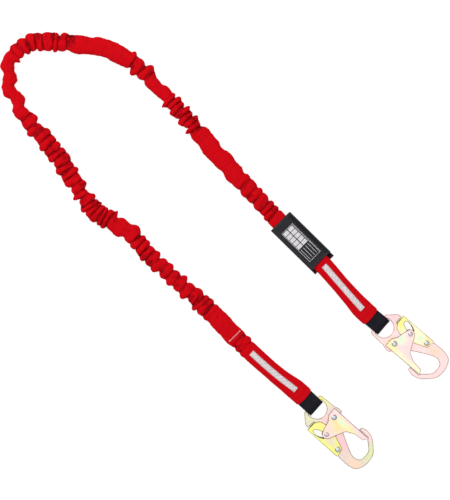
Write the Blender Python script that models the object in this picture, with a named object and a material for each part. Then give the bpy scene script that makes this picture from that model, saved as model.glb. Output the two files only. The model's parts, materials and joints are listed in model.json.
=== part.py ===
"""Shock absorbing lanyard: a padded webbing lanyard with a double locking snap hook at each end.

It lies flat on a table, seen from above. +Z is up and z = 0 is the table. A gathered tubular
jacket covers an energy absorbing core and two elastic bands. At each end a webbing loop and a
wear pad go round the bar of a stamped steel hook. Every length below is in millimetres and is
turned into metres as the meshes are made.
"""

import math

import bmesh
import bpy
import numpy as np
from mathutils import Matrix, Vector

MM = 0.001

# Clearances
GAP = 0.3  # between two pieces that touch, and between a hole and its pin
SLACK = 0.5  # between the jacket and what it covers

# Steel hook, in its own frame: origin on the middle of the bar, +x to the nose, +y to the gate
PLATE = 4.8
SHEET = 1.5  # wall of the folded gate and of the folded lock
BAR_HALF = 3.5
EYE_DEPTH = 20.5  # from the bar's inner face to the far side of the eye
EYE_SIDE_GAP = 1.2
EYE_RIM = 4.2
GATE_PIVOT = (37.1, 8.5)
GATE_REACH = 61.5  # from the gate pivot to the tip of the gate
GATE_TOP = 20.3  # outer face of the gate's web
GATE_OPEN = 30.0
HUB_RADIUS = 11.0  # round end of the plate that the gate turns about
NOSE_GAP = 0.5
NOSE_HEIGHT = 7.8
BOW_RIM = 10.7
BOW_INNER = 17.0  # from the gate's tip to the bow's flat bearing face
VOID_GAP = 5.7  # room left under the tip of the open gate
LOCK_PIVOT = (75.8, -25.8)
LOCK_WEB = 34.0  # distance of the lock web's inner face from the hook's axis
LOCK_THUMB = 18.9  # where the lock's thumb end starts
LOCK_OPEN = 8.0
LOCK_PIN = (46.6, -20.0)
PIN_RADIUS = 2.1
PIN_ROOM = 0.45
GATE_RIVET_RADIUS = 3.0
LOCK_RIVET_RADIUS = 2.6
RIVET_HEAD_RADIUS = 4.4
PIN_HEAD_RADIUS = 3.7
HEAD_HEIGHT = 1.9
GATE_WIRE = 0.7
LEAF = 0.6
LEAF_HALF_WIDTH = 1.9

# Webbing, wear pads, core and jacket
LOOP_HALF_WIDTH = 12.5
LOOP_WEBBING = 1.8
LOOP_LEG = 57.0
PAD_EXTRA = 2.3  # how far a wear pad stands past its loop on each side
PAD_WEBBING = 1.4
PAD_LEG = 38.0
LOOP_CLOSES = 14.0  # from the bar to where the two layers lie flat together
CORE = 3.0
CORE_HALF_WIDTH = 10.0
CORE_SETBACK = 24.0
ELASTIC = 1.0
ELASTIC_HALF_WIDTH = 5.0
ELASTIC_SETBACK = 60.0
JACKET_WALL = 1.2
JACKET_SETBACK = 20.0
JACKET_HALF_WIDTH = 14.4
JACKET_HALF_THICK = 8.1
JACKET_CORNER = 4.0
END_CORNER = 1.8
FLARE = 40.0
TAPER = 22.0  # over which the jacket changes its size
SWELL = 20.0  # over which it goes from gathered to flat before the stitched end
COVER_LEAD = 5.0  # room for the jacket to step down before the label cover, and COVER_TAIL after it
COVER_TAIL = 2.0
STITCHED_END = 175.0
GATHERED_RINGS = 58
RINGS_FROM_A = (80.0, 104.0, 154.0, 180.0, 206.0)
RINGS_FROM_B = (84.0, 106.0, 128.0, 150.0)

# Reflective strips and the stitched stop
STRIP = 0.6
STRIP_HALF_WIDTH = 4.8
STRIP_START = 40.0
STRIP_LENGTH = 88.0
STOP_FROM_BAR = 168.0
STOP_HALF_LENGTH = 12.5
STOP_HALF_WIDTH = 1.0
STOP_THICK = 0.7

# Label cover
COVER_FROM_BAR = 180.0
COVER_LENGTH = 100.0
FLAP_LENGTH = 92.0
COVER_HALF_WIDTH = 21.3
COVER_OFFSET = 2.0  # towards the folded edge
COVER_SHEET = 1.0
FOLD_SETBACK = 0.5  # from the fold line to the end of each of the two sheets that meet there
COVER_FLOOR = 0.6
COVER_TUBE_HALF_THICK = 6.0
TAPE = 0.7
TAPE_WIDTH = 3.8
TAPE_LENGTH = 84.0
CARD = 0.6
CARD_LENGTH = 80.0
CARD_HALF_WIDTH = 10.5

# Sizes that follow from the ones above
LOCK_IN = PLATE / 2 + GAP
LOCK_OUT = LOCK_IN + SHEET
GATE_IN = LOCK_OUT + GAP
GATE_OUT = GATE_IN + SHEET
BAR_CORNER = math.hypot(BAR_HALF, PLATE / 2)
LOOP_RADIUS = BAR_CORNER + SLACK
PAD_RADIUS = LOOP_RADIUS + LOOP_WEBBING + GAP
RIVET_TOP = GATE_OUT + GAP + HEAD_HEIGHT
PLANE = max(RIVET_TOP, PAD_RADIUS + PAD_WEBBING)  # height of the hooks' middle plane
LOOP_FLAT = CORE / 2 + GAP
PAD_FLAT = LOOP_FLAT + LOOP_WEBBING + GAP
PAD_HALF_WIDTH = LOOP_HALF_WIDTH + PAD_EXTRA
END_HALF_WIDTH = PAD_HALF_WIDTH + SLACK + JACKET_WALL
END_HALF_THICK = PAD_FLAT + PAD_WEBBING + SLACK + JACKET_WALL
EYE_HALF_WIDTH = PAD_HALF_WIDTH + EYE_SIDE_GAP
EYE_EDGE = EYE_HALF_WIDTH + EYE_RIM

# Middle of each bar on the table, and how far its hook points below +x
BAR_A = (23.6, 92.1)
HEADING_A = -40.5
BAR_B = (-83.3, -37.5)
HEADING_B = -42.0

# The webbing's way from bar A to bar B, chosen by eye
ROUTE = (
    (24, 92), (-3, 115), (-23, 137), (-45, 162), (-66, 186), (-102, 221), (-137, 256), (-170, 292),
    (-204, 328), (-236, 364), (-268, 401), (-300, 438), (-332, 471), (-354, 496), (-380, 516),
    (-410, 532), (-445, 539), (-480, 542), (-514, 545), (-541, 540), (-562, 523), (-571, 499),
    (-567, 469), (-554, 442), (-533, 410), (-509, 384), (-487, 355), (-468, 324), (-450, 296),
    (-428, 270), (-399, 254), (-373, 235), (-349, 207), (-308, 168), (-264, 128), (-210, 75),
    (-183, 48), (-140, 10), (-109, -14), (-83, -37),
)


# ---------------------------------------------------------------- outlines and meshes


def turn(point, centre, degrees):
    """A point turned anticlockwise about a centre."""
    angle = math.radians(degrees)
    x, y = point[0] - centre[0], point[1] - centre[1]
    return (
        centre[0] + x * math.cos(angle) - y * math.sin(angle),
        centre[1] + x * math.sin(angle) + y * math.cos(angle),
    )


def arc(centre, radius, start, end, steps):
    """Points along an arc, from one angle to another in degrees."""
    angles = np.radians(np.linspace(start, end, steps + 1))
    return [(centre[0] + radius * math.cos(a), centre[1] + radius * math.sin(a)) for a in angles]


def circle(centre, radius, steps=28):
    return arc(centre, radius, 0, 360, steps)[:-1]


def rounded(corners, step=10.0):
    """A closed outline through (x, y, radius) corners, each turned with an arc of its radius.

    A radius is cut down where its arc would reach past the middle of a side.
    """
    outline = []
    count = len(corners)
    for i, (x, y, radius) in enumerate(corners):
        here = Vector((x, y))
        back = Vector(corners[i - 1][:2]) - here
        ahead = Vector(corners[(i + 1) % count][:2]) - here
        half = back.angle(ahead) / 2
        reach = min(radius / math.tan(half), back.length * 0.49, ahead.length * 0.49)
        bend = math.pi - 2 * half
        if reach < 0.05 or bend < math.radians(2):
            outline.append((x, y))
            continue
        radius = reach * math.tan(half)
        centre = here + (back.normalized() + ahead.normalized()).normalized() * (
            radius / math.sin(half)
        )
        first = here + back.normalized() * reach - centre
        last = here + ahead.normalized() * reach - centre
        steps = max(1, math.ceil(math.degrees(bend) / step))
        spin = math.atan2(first.cross(last), first.dot(last))
        for k in range(steps + 1):
            point = centre + Matrix.Rotation(spin * k / steps, 2) @ first
            outline.append((point.x, point.y))
    return outline


def thick_line(points, thickness):
    """The outline of a folded sheet, from the middle line of its section."""
    line = [Vector(p) for p in points]
    ways = [(b - a).normalized() for a, b in zip(line, line[1:])]
    left, right = [], []
    for i, point in enumerate(line):
        before, after = ways[max(i - 1, 0)], ways[min(i, len(ways) - 1)]
        middle = (before + after).normalized()
        across = Vector((-middle.y, middle.x)) * (thickness / 2 / middle.dot(after))
        left.append(tuple(point + across))
        right.append(tuple(point - across))
    return left + right[::-1]


def plate(outline, low, high, holes=()):
    """A flat plate with holes, as a bmesh in metres: its face filled, then extruded."""
    bm = bmesh.new()
    for loop in (outline, *holes):
        verts = [bm.verts.new((x * MM, y * MM, low * MM)) for x, y in loop]
        for i, vert in enumerate(verts):
            bm.edges.new((verts[i - 1], vert))
    filled = bmesh.ops.triangle_fill(bm, use_beauty=True, use_dissolve=False, edges=bm.edges[:])
    faces = [item for item in filled["geom"] if isinstance(item, bmesh.types.BMFace)]
    raised = bmesh.ops.extrude_face_region(bm, geom=faces)
    top = [item for item in raised["geom"] if isinstance(item, bmesh.types.BMVert)]
    bmesh.ops.translate(bm, verts=top, vec=(0, 0, (high - low) * MM))
    bmesh.ops.recalc_face_normals(bm, faces=bm.faces[:])
    return bm


def loft(rings, cyclic=False):
    """A closed skin over rings of points, with a cap on each end, or the last joined to the first."""
    bm = bmesh.new()
    rows = [[bm.verts.new(np.asarray(point) * MM) for point in ring] for ring in rings]
    pairs = list(zip(rows, rows[1:]))
    if cyclic:
        pairs.append((rows[-1], rows[0]))
    else:
        bm.faces.new(rows[0][::-1])
        bm.faces.new(rows[-1])
    for near, far in pairs:
        for i in range(len(near)):
            bm.faces.new((near[i - 1], near[i], far[i], far[i - 1]))
    bmesh.ops.recalc_face_normals(bm, faces=bm.faces[:])
    return bm


def turned(profile, steps=12):
    """A solid of revolution about z, from its (radius, height) profile that starts and ends on z."""
    bm = bmesh.new()
    verts = [bm.verts.new((r * MM, 0, z * MM)) for r, z in profile]
    edges = [bm.edges.new(pair) for pair in zip(verts, verts[1:])]
    bmesh.ops.spin(
        bm, geom=verts + edges, axis=(0, 0, 1), cent=(0, 0, 0), angle=2 * math.pi,
        steps=steps, use_merge=True,
    )
    bmesh.ops.remove_doubles(bm, verts=bm.verts[:], dist=1e-6)
    bmesh.ops.recalc_face_normals(bm, faces=bm.faces[:])
    return bm


# ---------------------------------------------------------------- objects and materials


def material(name, colour, roughness, metallic=0.0):
    found = bpy.data.materials.get(name)
    if found:
        return found
    made = bpy.data.materials.new(name)
    made.use_nodes = True
    shader = made.node_tree.nodes["Principled BSDF"]
    shader.inputs["Base Color"].default_value = (*colour, 1.0)
    shader.inputs["Roughness"].default_value = roughness
    shader.inputs["Metallic"].default_value = metallic
    made.diffuse_color = (*colour, 1.0)
    return made


def red_webbing(name):
    return material(name, (0.66, 0.004, 0.01), 0.75)


def black_webbing(name):
    return material(name, (0.012, 0.012, 0.016), 0.8)


def yellow_zinc(name):
    return material(name, (0.86, 0.72, 0.5), 0.3, 1.0)


def bright_steel(name):
    return material(name, (0.6, 0.62, 0.64), 0.25, 1.0)


def add_object(name, bm, surface, parent=None, location=(0, 0, 0), smooth=False):
    """One named object in the scene, with its place given in its parent's frame."""
    mesh = bpy.data.meshes.new(name)
    bm.to_mesh(mesh)
    bm.free()
    mesh.materials.append(surface)
    if smooth:
        mesh.shade_smooth()
        mesh.set_sharp_from_angle(angle=math.radians(35))
    made = bpy.data.objects.new(name, mesh)
    bpy.context.scene.collection.objects.link(made)
    made.parent = parent
    made.location = location
    return made


def add_empty(name, location, parent=None, rotation=None):
    made = bpy.data.objects.new(name, None)
    made.empty_display_size = 0.01
    bpy.context.scene.collection.objects.link(made)
    made.parent = parent
    made.location = location
    if rotation is not None:
        made.rotation_euler = rotation
    return made


def add_wire(name, points, radius, surface, parent):
    """A round wire along a list of points, with flat ends."""
    curve = bpy.data.curves.new(name, "CURVE")
    curve.dimensions = "3D"
    curve.bevel_depth = radius * MM
    curve.bevel_resolution = 1
    curve.use_fill_caps = True
    curve.materials.append(surface)
    spline = curve.splines.new("POLY")
    spline.points.add(len(points) - 1)
    for slot, point in zip(spline.points, points):
        slot.co = (*(value * MM for value in point), 1.0)
    made = bpy.data.objects.new(name, curve)
    bpy.context.scene.collection.objects.link(made)
    made.parent = parent
    return made


def cut_away(target, outline, low, high):
    """Takes a prism out of a piece, with the prism kept as a hidden cutter beside it."""
    surface = target.data.materials[0]
    cutter = add_object(target.name + "_cutter", plate(outline, low, high), surface, target.parent)
    cutter.location = target.location
    cutter.hide_render = True
    cutter.display_type = "WIRE"
    cut = target.modifiers.new("Channel", "BOOLEAN")
    cut.operation = "DIFFERENCE"
    cut.solver = "EXACT"
    cut.object = cutter


def moved(outline, pivot):
    """An outline with its origin shifted to a pivot."""
    return [(x - pivot[0], y - pivot[1]) for x, y in outline]


# ---------------------------------------------------------------- hook outlines


def gate_tip():
    """The far end of the gate, in the hook's frame."""
    return GATE_PIVOT[0] + GATE_REACH


def pin_in_lock(share):
    """Where the lock pin stands in the lock, at a share of the full travel of both."""
    swung = turn(LOCK_PIN, GATE_PIVOT, -GATE_OPEN * share)
    return turn(swung, LOCK_PIVOT, LOCK_OPEN * share)


def notch():
    """Edges of the open notch under the lock: left, right and top."""
    left = LOCK_THUMB - 1.3
    right = LOCK_PIN[0] + PIN_RADIUS + 1.8
    top = LOCK_PIN[1] + PIN_RADIUS + 1.5
    return left, right, top


def body_outline():
    """The stamped plate: bar, eye sides, hub, throat, bow, nose, spine and the notch for the lock."""
    tip = gate_tip()
    inner = tip + BOW_INNER
    outer = inner + BOW_RIM
    under_tip = turn((tip, GATE_TOP - SHEET), GATE_PIVOT, -GATE_OPEN)[1]
    floor = under_tip - VOID_GAP
    nose = GATE_TOP + NOSE_GAP
    left, right, top = notch()
    hub = [(x, y, 0) for x, y in arc(GATE_PIVOT, HUB_RADIUS, 66.5, -10, 6)]
    return rounded(
        [
            (-BAR_HALF, EYE_EDGE, 4.5),
            (24.0, EYE_EDGE + 1.5, 8.0),
            (34.1, EYE_EDGE + 4.2, 5.0),
            (40.4, EYE_EDGE + 3.6, 1.6),
            *hub,
            (60.0, 2.0, 14.0),
            (tip - 10.2, floor + 6.1, 30.0),
            (tip + 4.5, floor, 16.0),
            (inner, floor + 4.5, 12.0),
            (inner, 5.0, 13.0),
            (tip + 2.4, nose - 3.2, 8.0),
            (tip + 0.8, nose, 1.0),
            (tip - 18.0, nose, 0.5),
            (tip - 18.2, nose + 4.4, 3.0),
            (tip - 9.0, nose + NOSE_HEIGHT, 11.0),
            (tip + 6.0, nose + 5.2, 24.0),
            (outer, 5.0, 26.0),
            (outer, -16.0, 34.0),
            (inner + 4.0, -31.2, 30.0),
            (tip + 5.0, -LOCK_WEB - 0.6, 30.0),
            (LOCK_PIVOT[0] + 9.7, -LOCK_WEB - 0.1, 1.0),
            (LOCK_PIVOT[0] + 8.4, -LOCK_WEB + 1.0, 0.4),
            (LOCK_PIVOT[0], -LOCK_WEB + 1.0, 3.0),
            (right + 1.5, -LOCK_WEB + 5.5, 2.0),
            (right, -LOCK_WEB + 6.4, 0.8),
            (right, top, 2.0),
            (left + 9.4, top, 6.0),
            (left, top - 3.1, 1.5),
            (left, -LOCK_WEB + 1.6, 1.5),
            (left - 6.6, -LOCK_WEB + 2.9, 4.0),
            (-BAR_HALF + 1.2, -EYE_EDGE + 1.6, 3.0),
            (-BAR_HALF, -EYE_EDGE + 3.4, 2.0),
        ]
    )


def eye_outline():
    """The D shaped eye: straight along the bar, round on the far side."""
    far = BAR_HALF + EYE_DEPTH
    middle = far - EYE_HALF_WIDTH
    dome = arc((middle, 0), EYE_HALF_WIDTH, 90, -90, 18)
    corners = [(BAR_HALF, -EYE_HALF_WIDTH, 1.2), (BAR_HALF, EYE_HALF_WIDTH, 1.2)]
    return rounded(corners + [(x, y, 0) for x, y in dome])


def gate_outline():
    """One side of the gate: hub, ear down to the lock pin, and the taper to the tip."""
    tip = gate_tip()
    px, py = LOCK_PIN
    return rounded(
        [
            (28.3, GATE_TOP, 1.0),
            (28.3, 5.4, 3.0),
            (34.9, -4.0, 8.0),
            (36.5, -13.6, 8.0),
            (px - 6.2, py - 4.6, 5.0),
            (px - 0.5, py - 7.4, 4.0),
            (px + 6.6, py - 3.6, 5.0),
            (61.0, -6.5, 14.0),
            (66.0, 4.0, 9.0),
            (80.0, 10.6, 8.0),
            (tip - 3.0, 12.0, 3.0),
            (tip, 17.6, 1.5),
            (tip, GATE_TOP, 0.8),
        ]
    )


def lock_outline():
    """One side of the lock: thumb end, the hump over the pin, and the taper to the pivot."""
    cx, cy = LOCK_PIVOT
    return rounded(
        [
            (LOCK_THUMB, -LOCK_WEB - SHEET, 1.2),
            (LOCK_THUMB, -20.6, 4.0),
            (LOCK_THUMB + 6.1, -11.4, 6.0),
            (LOCK_THUMB + 15.5, -9.0, 8.0),
            (50.5, -9.7, 10.0),
            (61.1, -12.8, 10.0),
            (cx + 5.6, cy + 5.2, 4.0),
            (cx + 7.1, -LOCK_WEB - SHEET, 1.5),
        ]
    )


def window_outline():
    """The window that the lock pin travels in, wide of the pin all the way."""
    reach = PIN_RADIUS + PIN_ROOM
    near, middle, far = pin_in_lock(0), pin_in_lock(0.5), pin_in_lock(1)
    sill = -LOCK_WEB + 1.4
    return rounded(
        [
            (far[0] - 1.5 * reach, far[1] - 1.3 * reach, 1.5),
            (far[0] - 1.35 * reach, far[1] + 0.3 * reach, 1.5),
            (far[0] - 0.4 * reach, far[1] + 1.05 * reach, 2.0),
            (middle[0] - 0.4 * reach, middle[1] + 1.05 * reach, 4.0),
            (near[0] - 0.5 * reach, near[1] + reach, 1.0),
            (near[0] + 0.55 * reach, near[1] + reach, 0.8),
            (near[0] + 1.1 * reach, near[1], 0.8),
            (near[0] + 0.7 * reach, near[1] - 0.9 * reach, 1.5),
            (near[0] + 0.4 * reach, sill + 4.6, 1.5),
            (near[0] - 2.6 * reach, sill + 1.4, 4.0),
            (far[0] + 0.3 * reach, sill, 2.0),
        ]
    )


# ---------------------------------------------------------------- hook pieces


def add_body(tag, frame):
    holes = (
        eye_outline(),
        circle(GATE_PIVOT, GATE_RIVET_RADIUS + GAP),
        circle(LOCK_PIVOT, LOCK_RIVET_RADIUS + GAP),
    )
    bm = plate(body_outline(), -PLATE / 2, PLATE / 2, holes)
    return add_object(tag + "_body", bm, yellow_zinc(tag + "_body_zinc"), frame)


def add_gate(tag, frame):
    """The folded gate: two sides joined by a web that closes the hook."""
    holes = (
        circle((0, 0), GATE_RIVET_RADIUS + GAP),
        moved(circle(LOCK_PIN, PIN_RADIUS + GAP), GATE_PIVOT),
    )
    bm = plate(moved(gate_outline(), GATE_PIVOT), -GATE_OUT, GATE_OUT, holes)
    surface = yellow_zinc(tag + "_gate_zinc")
    gate = add_object(tag + "_gate", bm, surface, frame, Vector((*GATE_PIVOT, 0)) * MM)
    far = GATE_REACH + 20
    web_start = HUB_RADIUS * math.cos(math.radians(66.5)) + 1.5
    under = GATE_TOP - SHEET - GATE_PIVOT[1]
    channel = [(-30, -60), (far, -60), (far, under), (web_start, under), (web_start, 40), (-30, 40)]
    cut_away(gate, channel, -GATE_IN, GATE_IN)
    return gate


def add_lock(tag, frame):
    """The folded lock: two sides, a web under them and a short wrapped thumb end."""
    holes = (
        circle((0, 0), LOCK_RIVET_RADIUS + GAP),
        moved(window_outline(), LOCK_PIVOT),
    )
    bm = plate(moved(lock_outline(), LOCK_PIVOT), -LOCK_OUT, LOCK_OUT, holes)
    surface = yellow_zinc(tag + "_lock_zinc")
    lock = add_object(tag + "_lock", bm, surface, frame, Vector((*LOCK_PIVOT, 0)) * MM)
    inside = LOCK_THUMB + SHEET
    wrap = -LOCK_WEB + 5.5
    channel = [(inside, -LOCK_WEB), (110, -LOCK_WEB), (110, 10), (0, 10), (0, wrap), (inside, wrap)]
    cut_away(lock, moved(channel, LOCK_PIVOT), -LOCK_IN, LOCK_IN)
    return lock


def rivet_profile(shank, head, seat, height):
    """Half the section of a rivet with a domed head on each end."""
    dome = [
        (shank, seat),
        (head, seat),
        (head, seat + 0.2 * height),
        (0.86 * head, seat + 0.62 * height),
        (0.6 * head, seat + 0.88 * height),
        (0.3 * head, seat + height),
        (0, seat + height),
    ]
    return [(r, -z) for r, z in reversed(dome)] + dome


def add_rivets(tag, frame, gate_frame):
    """The gate's pivot, the pin that the gate carries, and the lock's pivot."""
    pieces = (
        ("_gate_rivet", GATE_RIVET_RADIUS, RIVET_HEAD_RADIUS, GATE_OUT + GAP, HEAD_HEIGHT, frame,
         GATE_PIVOT),
        ("_lock_pin", PIN_RADIUS, PIN_HEAD_RADIUS, GATE_OUT + GAP, HEAD_HEIGHT - 0.4, gate_frame,
         moved([LOCK_PIN], GATE_PIVOT)[0]),
        ("_lock_rivet", LOCK_RIVET_RADIUS, RIVET_HEAD_RADIUS, LOCK_OUT + GAP, HEAD_HEIGHT, frame,
         LOCK_PIVOT),
    )
    for name, shank, head, seat, height, parent, place in pieces:
        bm = turned(rivet_profile(shank, head, seat, height))
        surface = bright_steel(tag + name + "_steel")
        add_object(tag + name, bm, surface, parent, Vector((*place, 0)) * MM, smooth=True)


def add_gate_spring(tag, frame):
    """One turn of wire round the gate's pivot, with a leg on the plate and a leg under the web."""
    radius = GATE_RIVET_RADIUS + GAP + GATE_WIRE
    low = PLATE / 2 + GAP + GATE_WIRE / 2
    rise = GATE_WIRE + 0.15
    gx, gy = GATE_PIVOT
    points = [(gx - 5.5, gy + 10.0, low), (gx - radius, gy + 4.0, low)]
    for k in range(17):
        angle = math.pi - 2 * math.pi * k / 16
        height = low + rise * k / 16
        points.append((gx + radius * math.cos(angle), gy + radius * math.sin(angle), height))
    points.append((gx - radius * 0.6, gy + 5.6, low + rise))
    leg_top = GATE_TOP - SHEET - GATE_WIRE / 2 - GAP
    points.append((gx + 6.0, leg_top - 0.8, low + rise))
    points.append((gx + 16.0, leg_top, low + rise))
    surface = bright_steel(tag + "_gate_spring_steel")
    add_wire(tag + "_gate_spring", points, GATE_WIRE / 2, surface, frame)


def add_lock_spring(tag, frame):
    """A bent leaf in the notch, from the plate to the inside of the lock's web."""
    right = notch()[1]
    floor = -LOCK_WEB
    line = [
        (right - 0.5, floor + 8.6),
        (right - 4.0, floor + 6.6),
        (right - 9.5, floor + 3.7),
        (right - 15.0, floor + 1.5),
        (right - 19.0, floor + 0.75),
        (right - 21.5, floor + 1.5),
    ]
    bm = plate(thick_line(line, LEAF), -LEAF_HALF_WIDTH, LEAF_HALF_WIDTH)
    surface = material(tag + "_lock_spring_steel", (0.05, 0.04, 0.035), 0.4, 1.0)
    add_object(tag + "_lock_spring", bm, surface, frame)


def add_hook(tag, bar, heading, turned_over):
    """A whole hook, whose frame is an empty on its bar with a further one on each pivot."""
    place = Vector((*bar, PLANE)) * MM
    frame = add_empty(tag + "_frame", place)
    roll = math.pi if turned_over else 0.0
    frame.rotation_euler = (roll, 0, math.radians(heading))
    gate_frame = add_empty(tag + "_gate_frame", Vector((*GATE_PIVOT, 0)) * MM, frame)
    add_body(tag, frame)
    add_gate(tag, frame)
    add_lock(tag, frame)
    add_rivets(tag, frame, gate_frame)
    add_gate_spring(tag, frame)
    add_lock_spring(tag, frame)


# ---------------------------------------------------------------- the webbing's way


class Route:
    """A smooth curve through the chosen points, measured along its length from bar A."""

    def __init__(self, points, samples=16):
        first = Vector(BAR_A) + Vector(turn((35, 0), (0, 0), HEADING_A))
        last = Vector(BAR_B) + Vector(turn((35, 0), (0, 0), HEADING_B))
        ends = [tuple(BAR_A), *points[1:-1], tuple(BAR_B)]
        knots = np.array([tuple(first), *ends, tuple(last)], float)
        pieces = []
        for i in range(1, len(knots) - 2):
            pieces.append(self.stretch(knots[i - 1 : i + 3], samples))
        self.xy = np.vstack([*pieces, knots[-2:-1]])
        steps = np.linalg.norm(np.diff(self.xy, axis=0), axis=1)
        self.run = np.concatenate([[0], np.cumsum(steps)])
        self.length = self.run[-1]
        self.start_way = -np.array(turn((1, 0), (0, 0), HEADING_A))
        self.end_way = np.array(turn((1, 0), (0, 0), HEADING_B))

    @staticmethod
    def stretch(four, samples):
        """Centripetal Catmull-Rom points between the second and third of four knots."""
        t = np.concatenate([[0], np.cumsum(np.linalg.norm(np.diff(four, axis=0), axis=1) ** 0.5)])
        s = np.linspace(t[1], t[2], samples, endpoint=False)[:, None]
        a = [
            (four[i] * (t[i + 1] - s) + four[i + 1] * (s - t[i])) / (t[i + 1] - t[i])
            for i in range(3)
        ]
        b = [
            (a[i] * (t[i + 2] - s) + a[i + 1] * (s - t[i])) / (t[i + 2] - t[i])
            for i in range(2)
        ]
        return (b[0] * (t[2] - s) + b[1] * (s - t[1])) / (t[2] - t[1])

    def at(self, distance):
        """The point, and the direction of travel, this far along; straight on past either end."""
        inside = min(max(distance, 0), self.length)
        point = np.array([np.interp(inside, self.run, self.xy[:, k]) for k in (0, 1)])
        ahead = min(inside + 3, self.length)
        behind = max(inside - 3, 0)
        way = np.array(
            [
                np.interp(ahead, self.run, self.xy[:, k])
                - np.interp(behind, self.run, self.xy[:, k])
                for k in (0, 1)
            ]
        )
        way /= np.linalg.norm(way)
        if distance < 0:
            way = self.start_way
        if distance > self.length:
            way = self.end_way
        return point + way * (distance - inside), way

    def place(self, distance, across, above):
        """A point beside the route: across to its left, and above the hooks' middle plane."""
        point, way = self.at(distance)
        return (point[0] - way[1] * across, point[1] + way[0] * across, PLANE + above)


def section(half_width, half_thick, corner):
    """A flat section with its corners cut off, as (across, above) pairs."""
    corner = min(corner, 0.95 * half_thick, 0.95 * half_width)
    x, y = half_width - corner, half_thick - corner
    points = []
    for sx, sy, start in ((1, 1, 0), (-1, 1, 90), (-1, -1, 180), (1, -1, 270)):
        points += arc((sx * x, sy * y), corner, start, start + 90, 1)
    return points


def slab(half_width, low, high):
    return [(half_width, low), (half_width, high), (-half_width, high), (-half_width, low)]


def jacket_size(distance, length):
    """Half-width, half-thickness and corner radius of the jacket at a distance along the route."""
    cover_near = COVER_FROM_BAR - COVER_LENGTH / 2
    cover_far = COVER_FROM_BAR + COVER_LENGTH / 2
    over_loop = max(JACKET_HALF_WIDTH, LOOP_HALF_WIDTH + SLACK + JACKET_WALL)
    knots = [
        (0, END_HALF_WIDTH, END_HALF_THICK, END_CORNER),
        (FLARE, END_HALF_WIDTH, END_HALF_THICK, END_CORNER),
        (FLARE + TAPER, over_loop, END_HALF_THICK, END_CORNER),
        (cover_near - COVER_LEAD, JACKET_HALF_WIDTH, END_HALF_THICK, END_CORNER),
        (cover_near, JACKET_HALF_WIDTH, COVER_TUBE_HALF_THICK, JACKET_CORNER),
        (cover_far + COVER_TAIL, JACKET_HALF_WIDTH, COVER_TUBE_HALF_THICK, JACKET_CORNER),
        (cover_far + TAPER, JACKET_HALF_WIDTH, JACKET_HALF_THICK, JACKET_CORNER),
        (length - STITCHED_END - SWELL, JACKET_HALF_WIDTH, JACKET_HALF_THICK, JACKET_CORNER),
        (length - STITCHED_END, JACKET_HALF_WIDTH, END_HALF_THICK, END_CORNER),
        (length - FLARE - TAPER, over_loop, END_HALF_THICK, END_CORNER),
        (length - FLARE, END_HALF_WIDTH, END_HALF_THICK, END_CORNER),
        (length, END_HALF_WIDTH, END_HALF_THICK, END_CORNER),
    ]
    table = np.array(knots)
    return [np.interp(distance, table[:, 0], table[:, k]) for k in (1, 2, 3)]


def stations(route, start, end):
    """Distances of the rings between two ends, from one set that all the long pieces share."""
    cover = (COVER_FROM_BAR - COVER_LENGTH / 2, COVER_FROM_BAR + COVER_LENGTH / 2)
    first, last = cover[1] + TAPER, route.length - STITCHED_END - SWELL
    shared = {FLARE, FLARE + TAPER, cover[0] - COVER_LEAD, cover[0], cover[1] + COVER_TAIL}
    shared |= {route.length - d for d in (FLARE, FLARE + TAPER, STITCHED_END, *RINGS_FROM_B)}
    shared |= set(RINGS_FROM_A)
    shared |= set(np.linspace(first, last, GATHERED_RINGS))
    between = sorted(s for s in shared if start + 4 < s < end - 4)
    return [start, *between, end]


def swept(route, distances, shape):
    """Rings of one section along the route."""
    return [[route.place(d, *point) for point in shape(d)] for d in distances]


# ---------------------------------------------------------------- soft pieces


def add_jacket(route):
    """The outer tube, open at both ends."""
    distances = stations(route, JACKET_SETBACK, route.length - JACKET_SETBACK)

    def outside(distance):
        return section(*jacket_size(distance, route.length))

    def inside(distance):
        width, thick, corner = jacket_size(distance, route.length)
        return section(width - JACKET_WALL, thick - JACKET_WALL, max(corner - JACKET_WALL, 0.6))

    rings = swept(route, distances, outside) + swept(route, distances[::-1], inside)
    surface = red_webbing("outer_jacket_red")
    add_object("outer_jacket", loft(rings, cyclic=True), surface, smooth=True)


def add_core(route):
    distances = stations(route, CORE_SETBACK, route.length - CORE_SETBACK)
    shape = slab(CORE_HALF_WIDTH, -CORE / 2, CORE / 2)
    surface = material("shock_core_white", (0.75, 0.74, 0.7), 0.8)
    add_object("shock_core", loft(swept(route, distances, lambda d: shape)), surface)


def add_elastics(route):
    """The stretched bands over and under the core that gather the jacket."""
    distances = stations(route, ELASTIC_SETBACK, route.length - ELASTIC_SETBACK)
    low = CORE / 2 + GAP
    high = low + ELASTIC
    surface = material("elastic_band_black", (0.02, 0.02, 0.02), 0.7)
    for name, bottom, top in (("top", low, high), ("bottom", -high, -low)):
        shape = slab(ELASTIC_HALF_WIDTH, bottom, top)
        bm = loft(swept(route, distances, lambda d: shape))
        add_object("elastic_band_" + name, bm, surface)


def loop_line(radius, flat, leg, steps=7):
    """One face of a loop round the bar: a leg, half a turn, and the leg back, as (along, above)."""
    along = [leg, LOOP_CLOSES + 4]
    along += [LOOP_CLOSES * (1 - k / steps) for k in range(steps)]
    upper = []
    for distance in along:
        share = max(0.0, 1 - distance / LOOP_CLOSES)
        ease = share * share * (3 - 2 * share)
        upper.append((distance, flat + (radius - flat) * ease))
    bend = [(-y, x) for x, y in arc((0, 0), radius, 0, 180, 12)]
    lower = [(x, -y) for x, y in reversed(upper)]
    return upper + bend + lower


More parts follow.
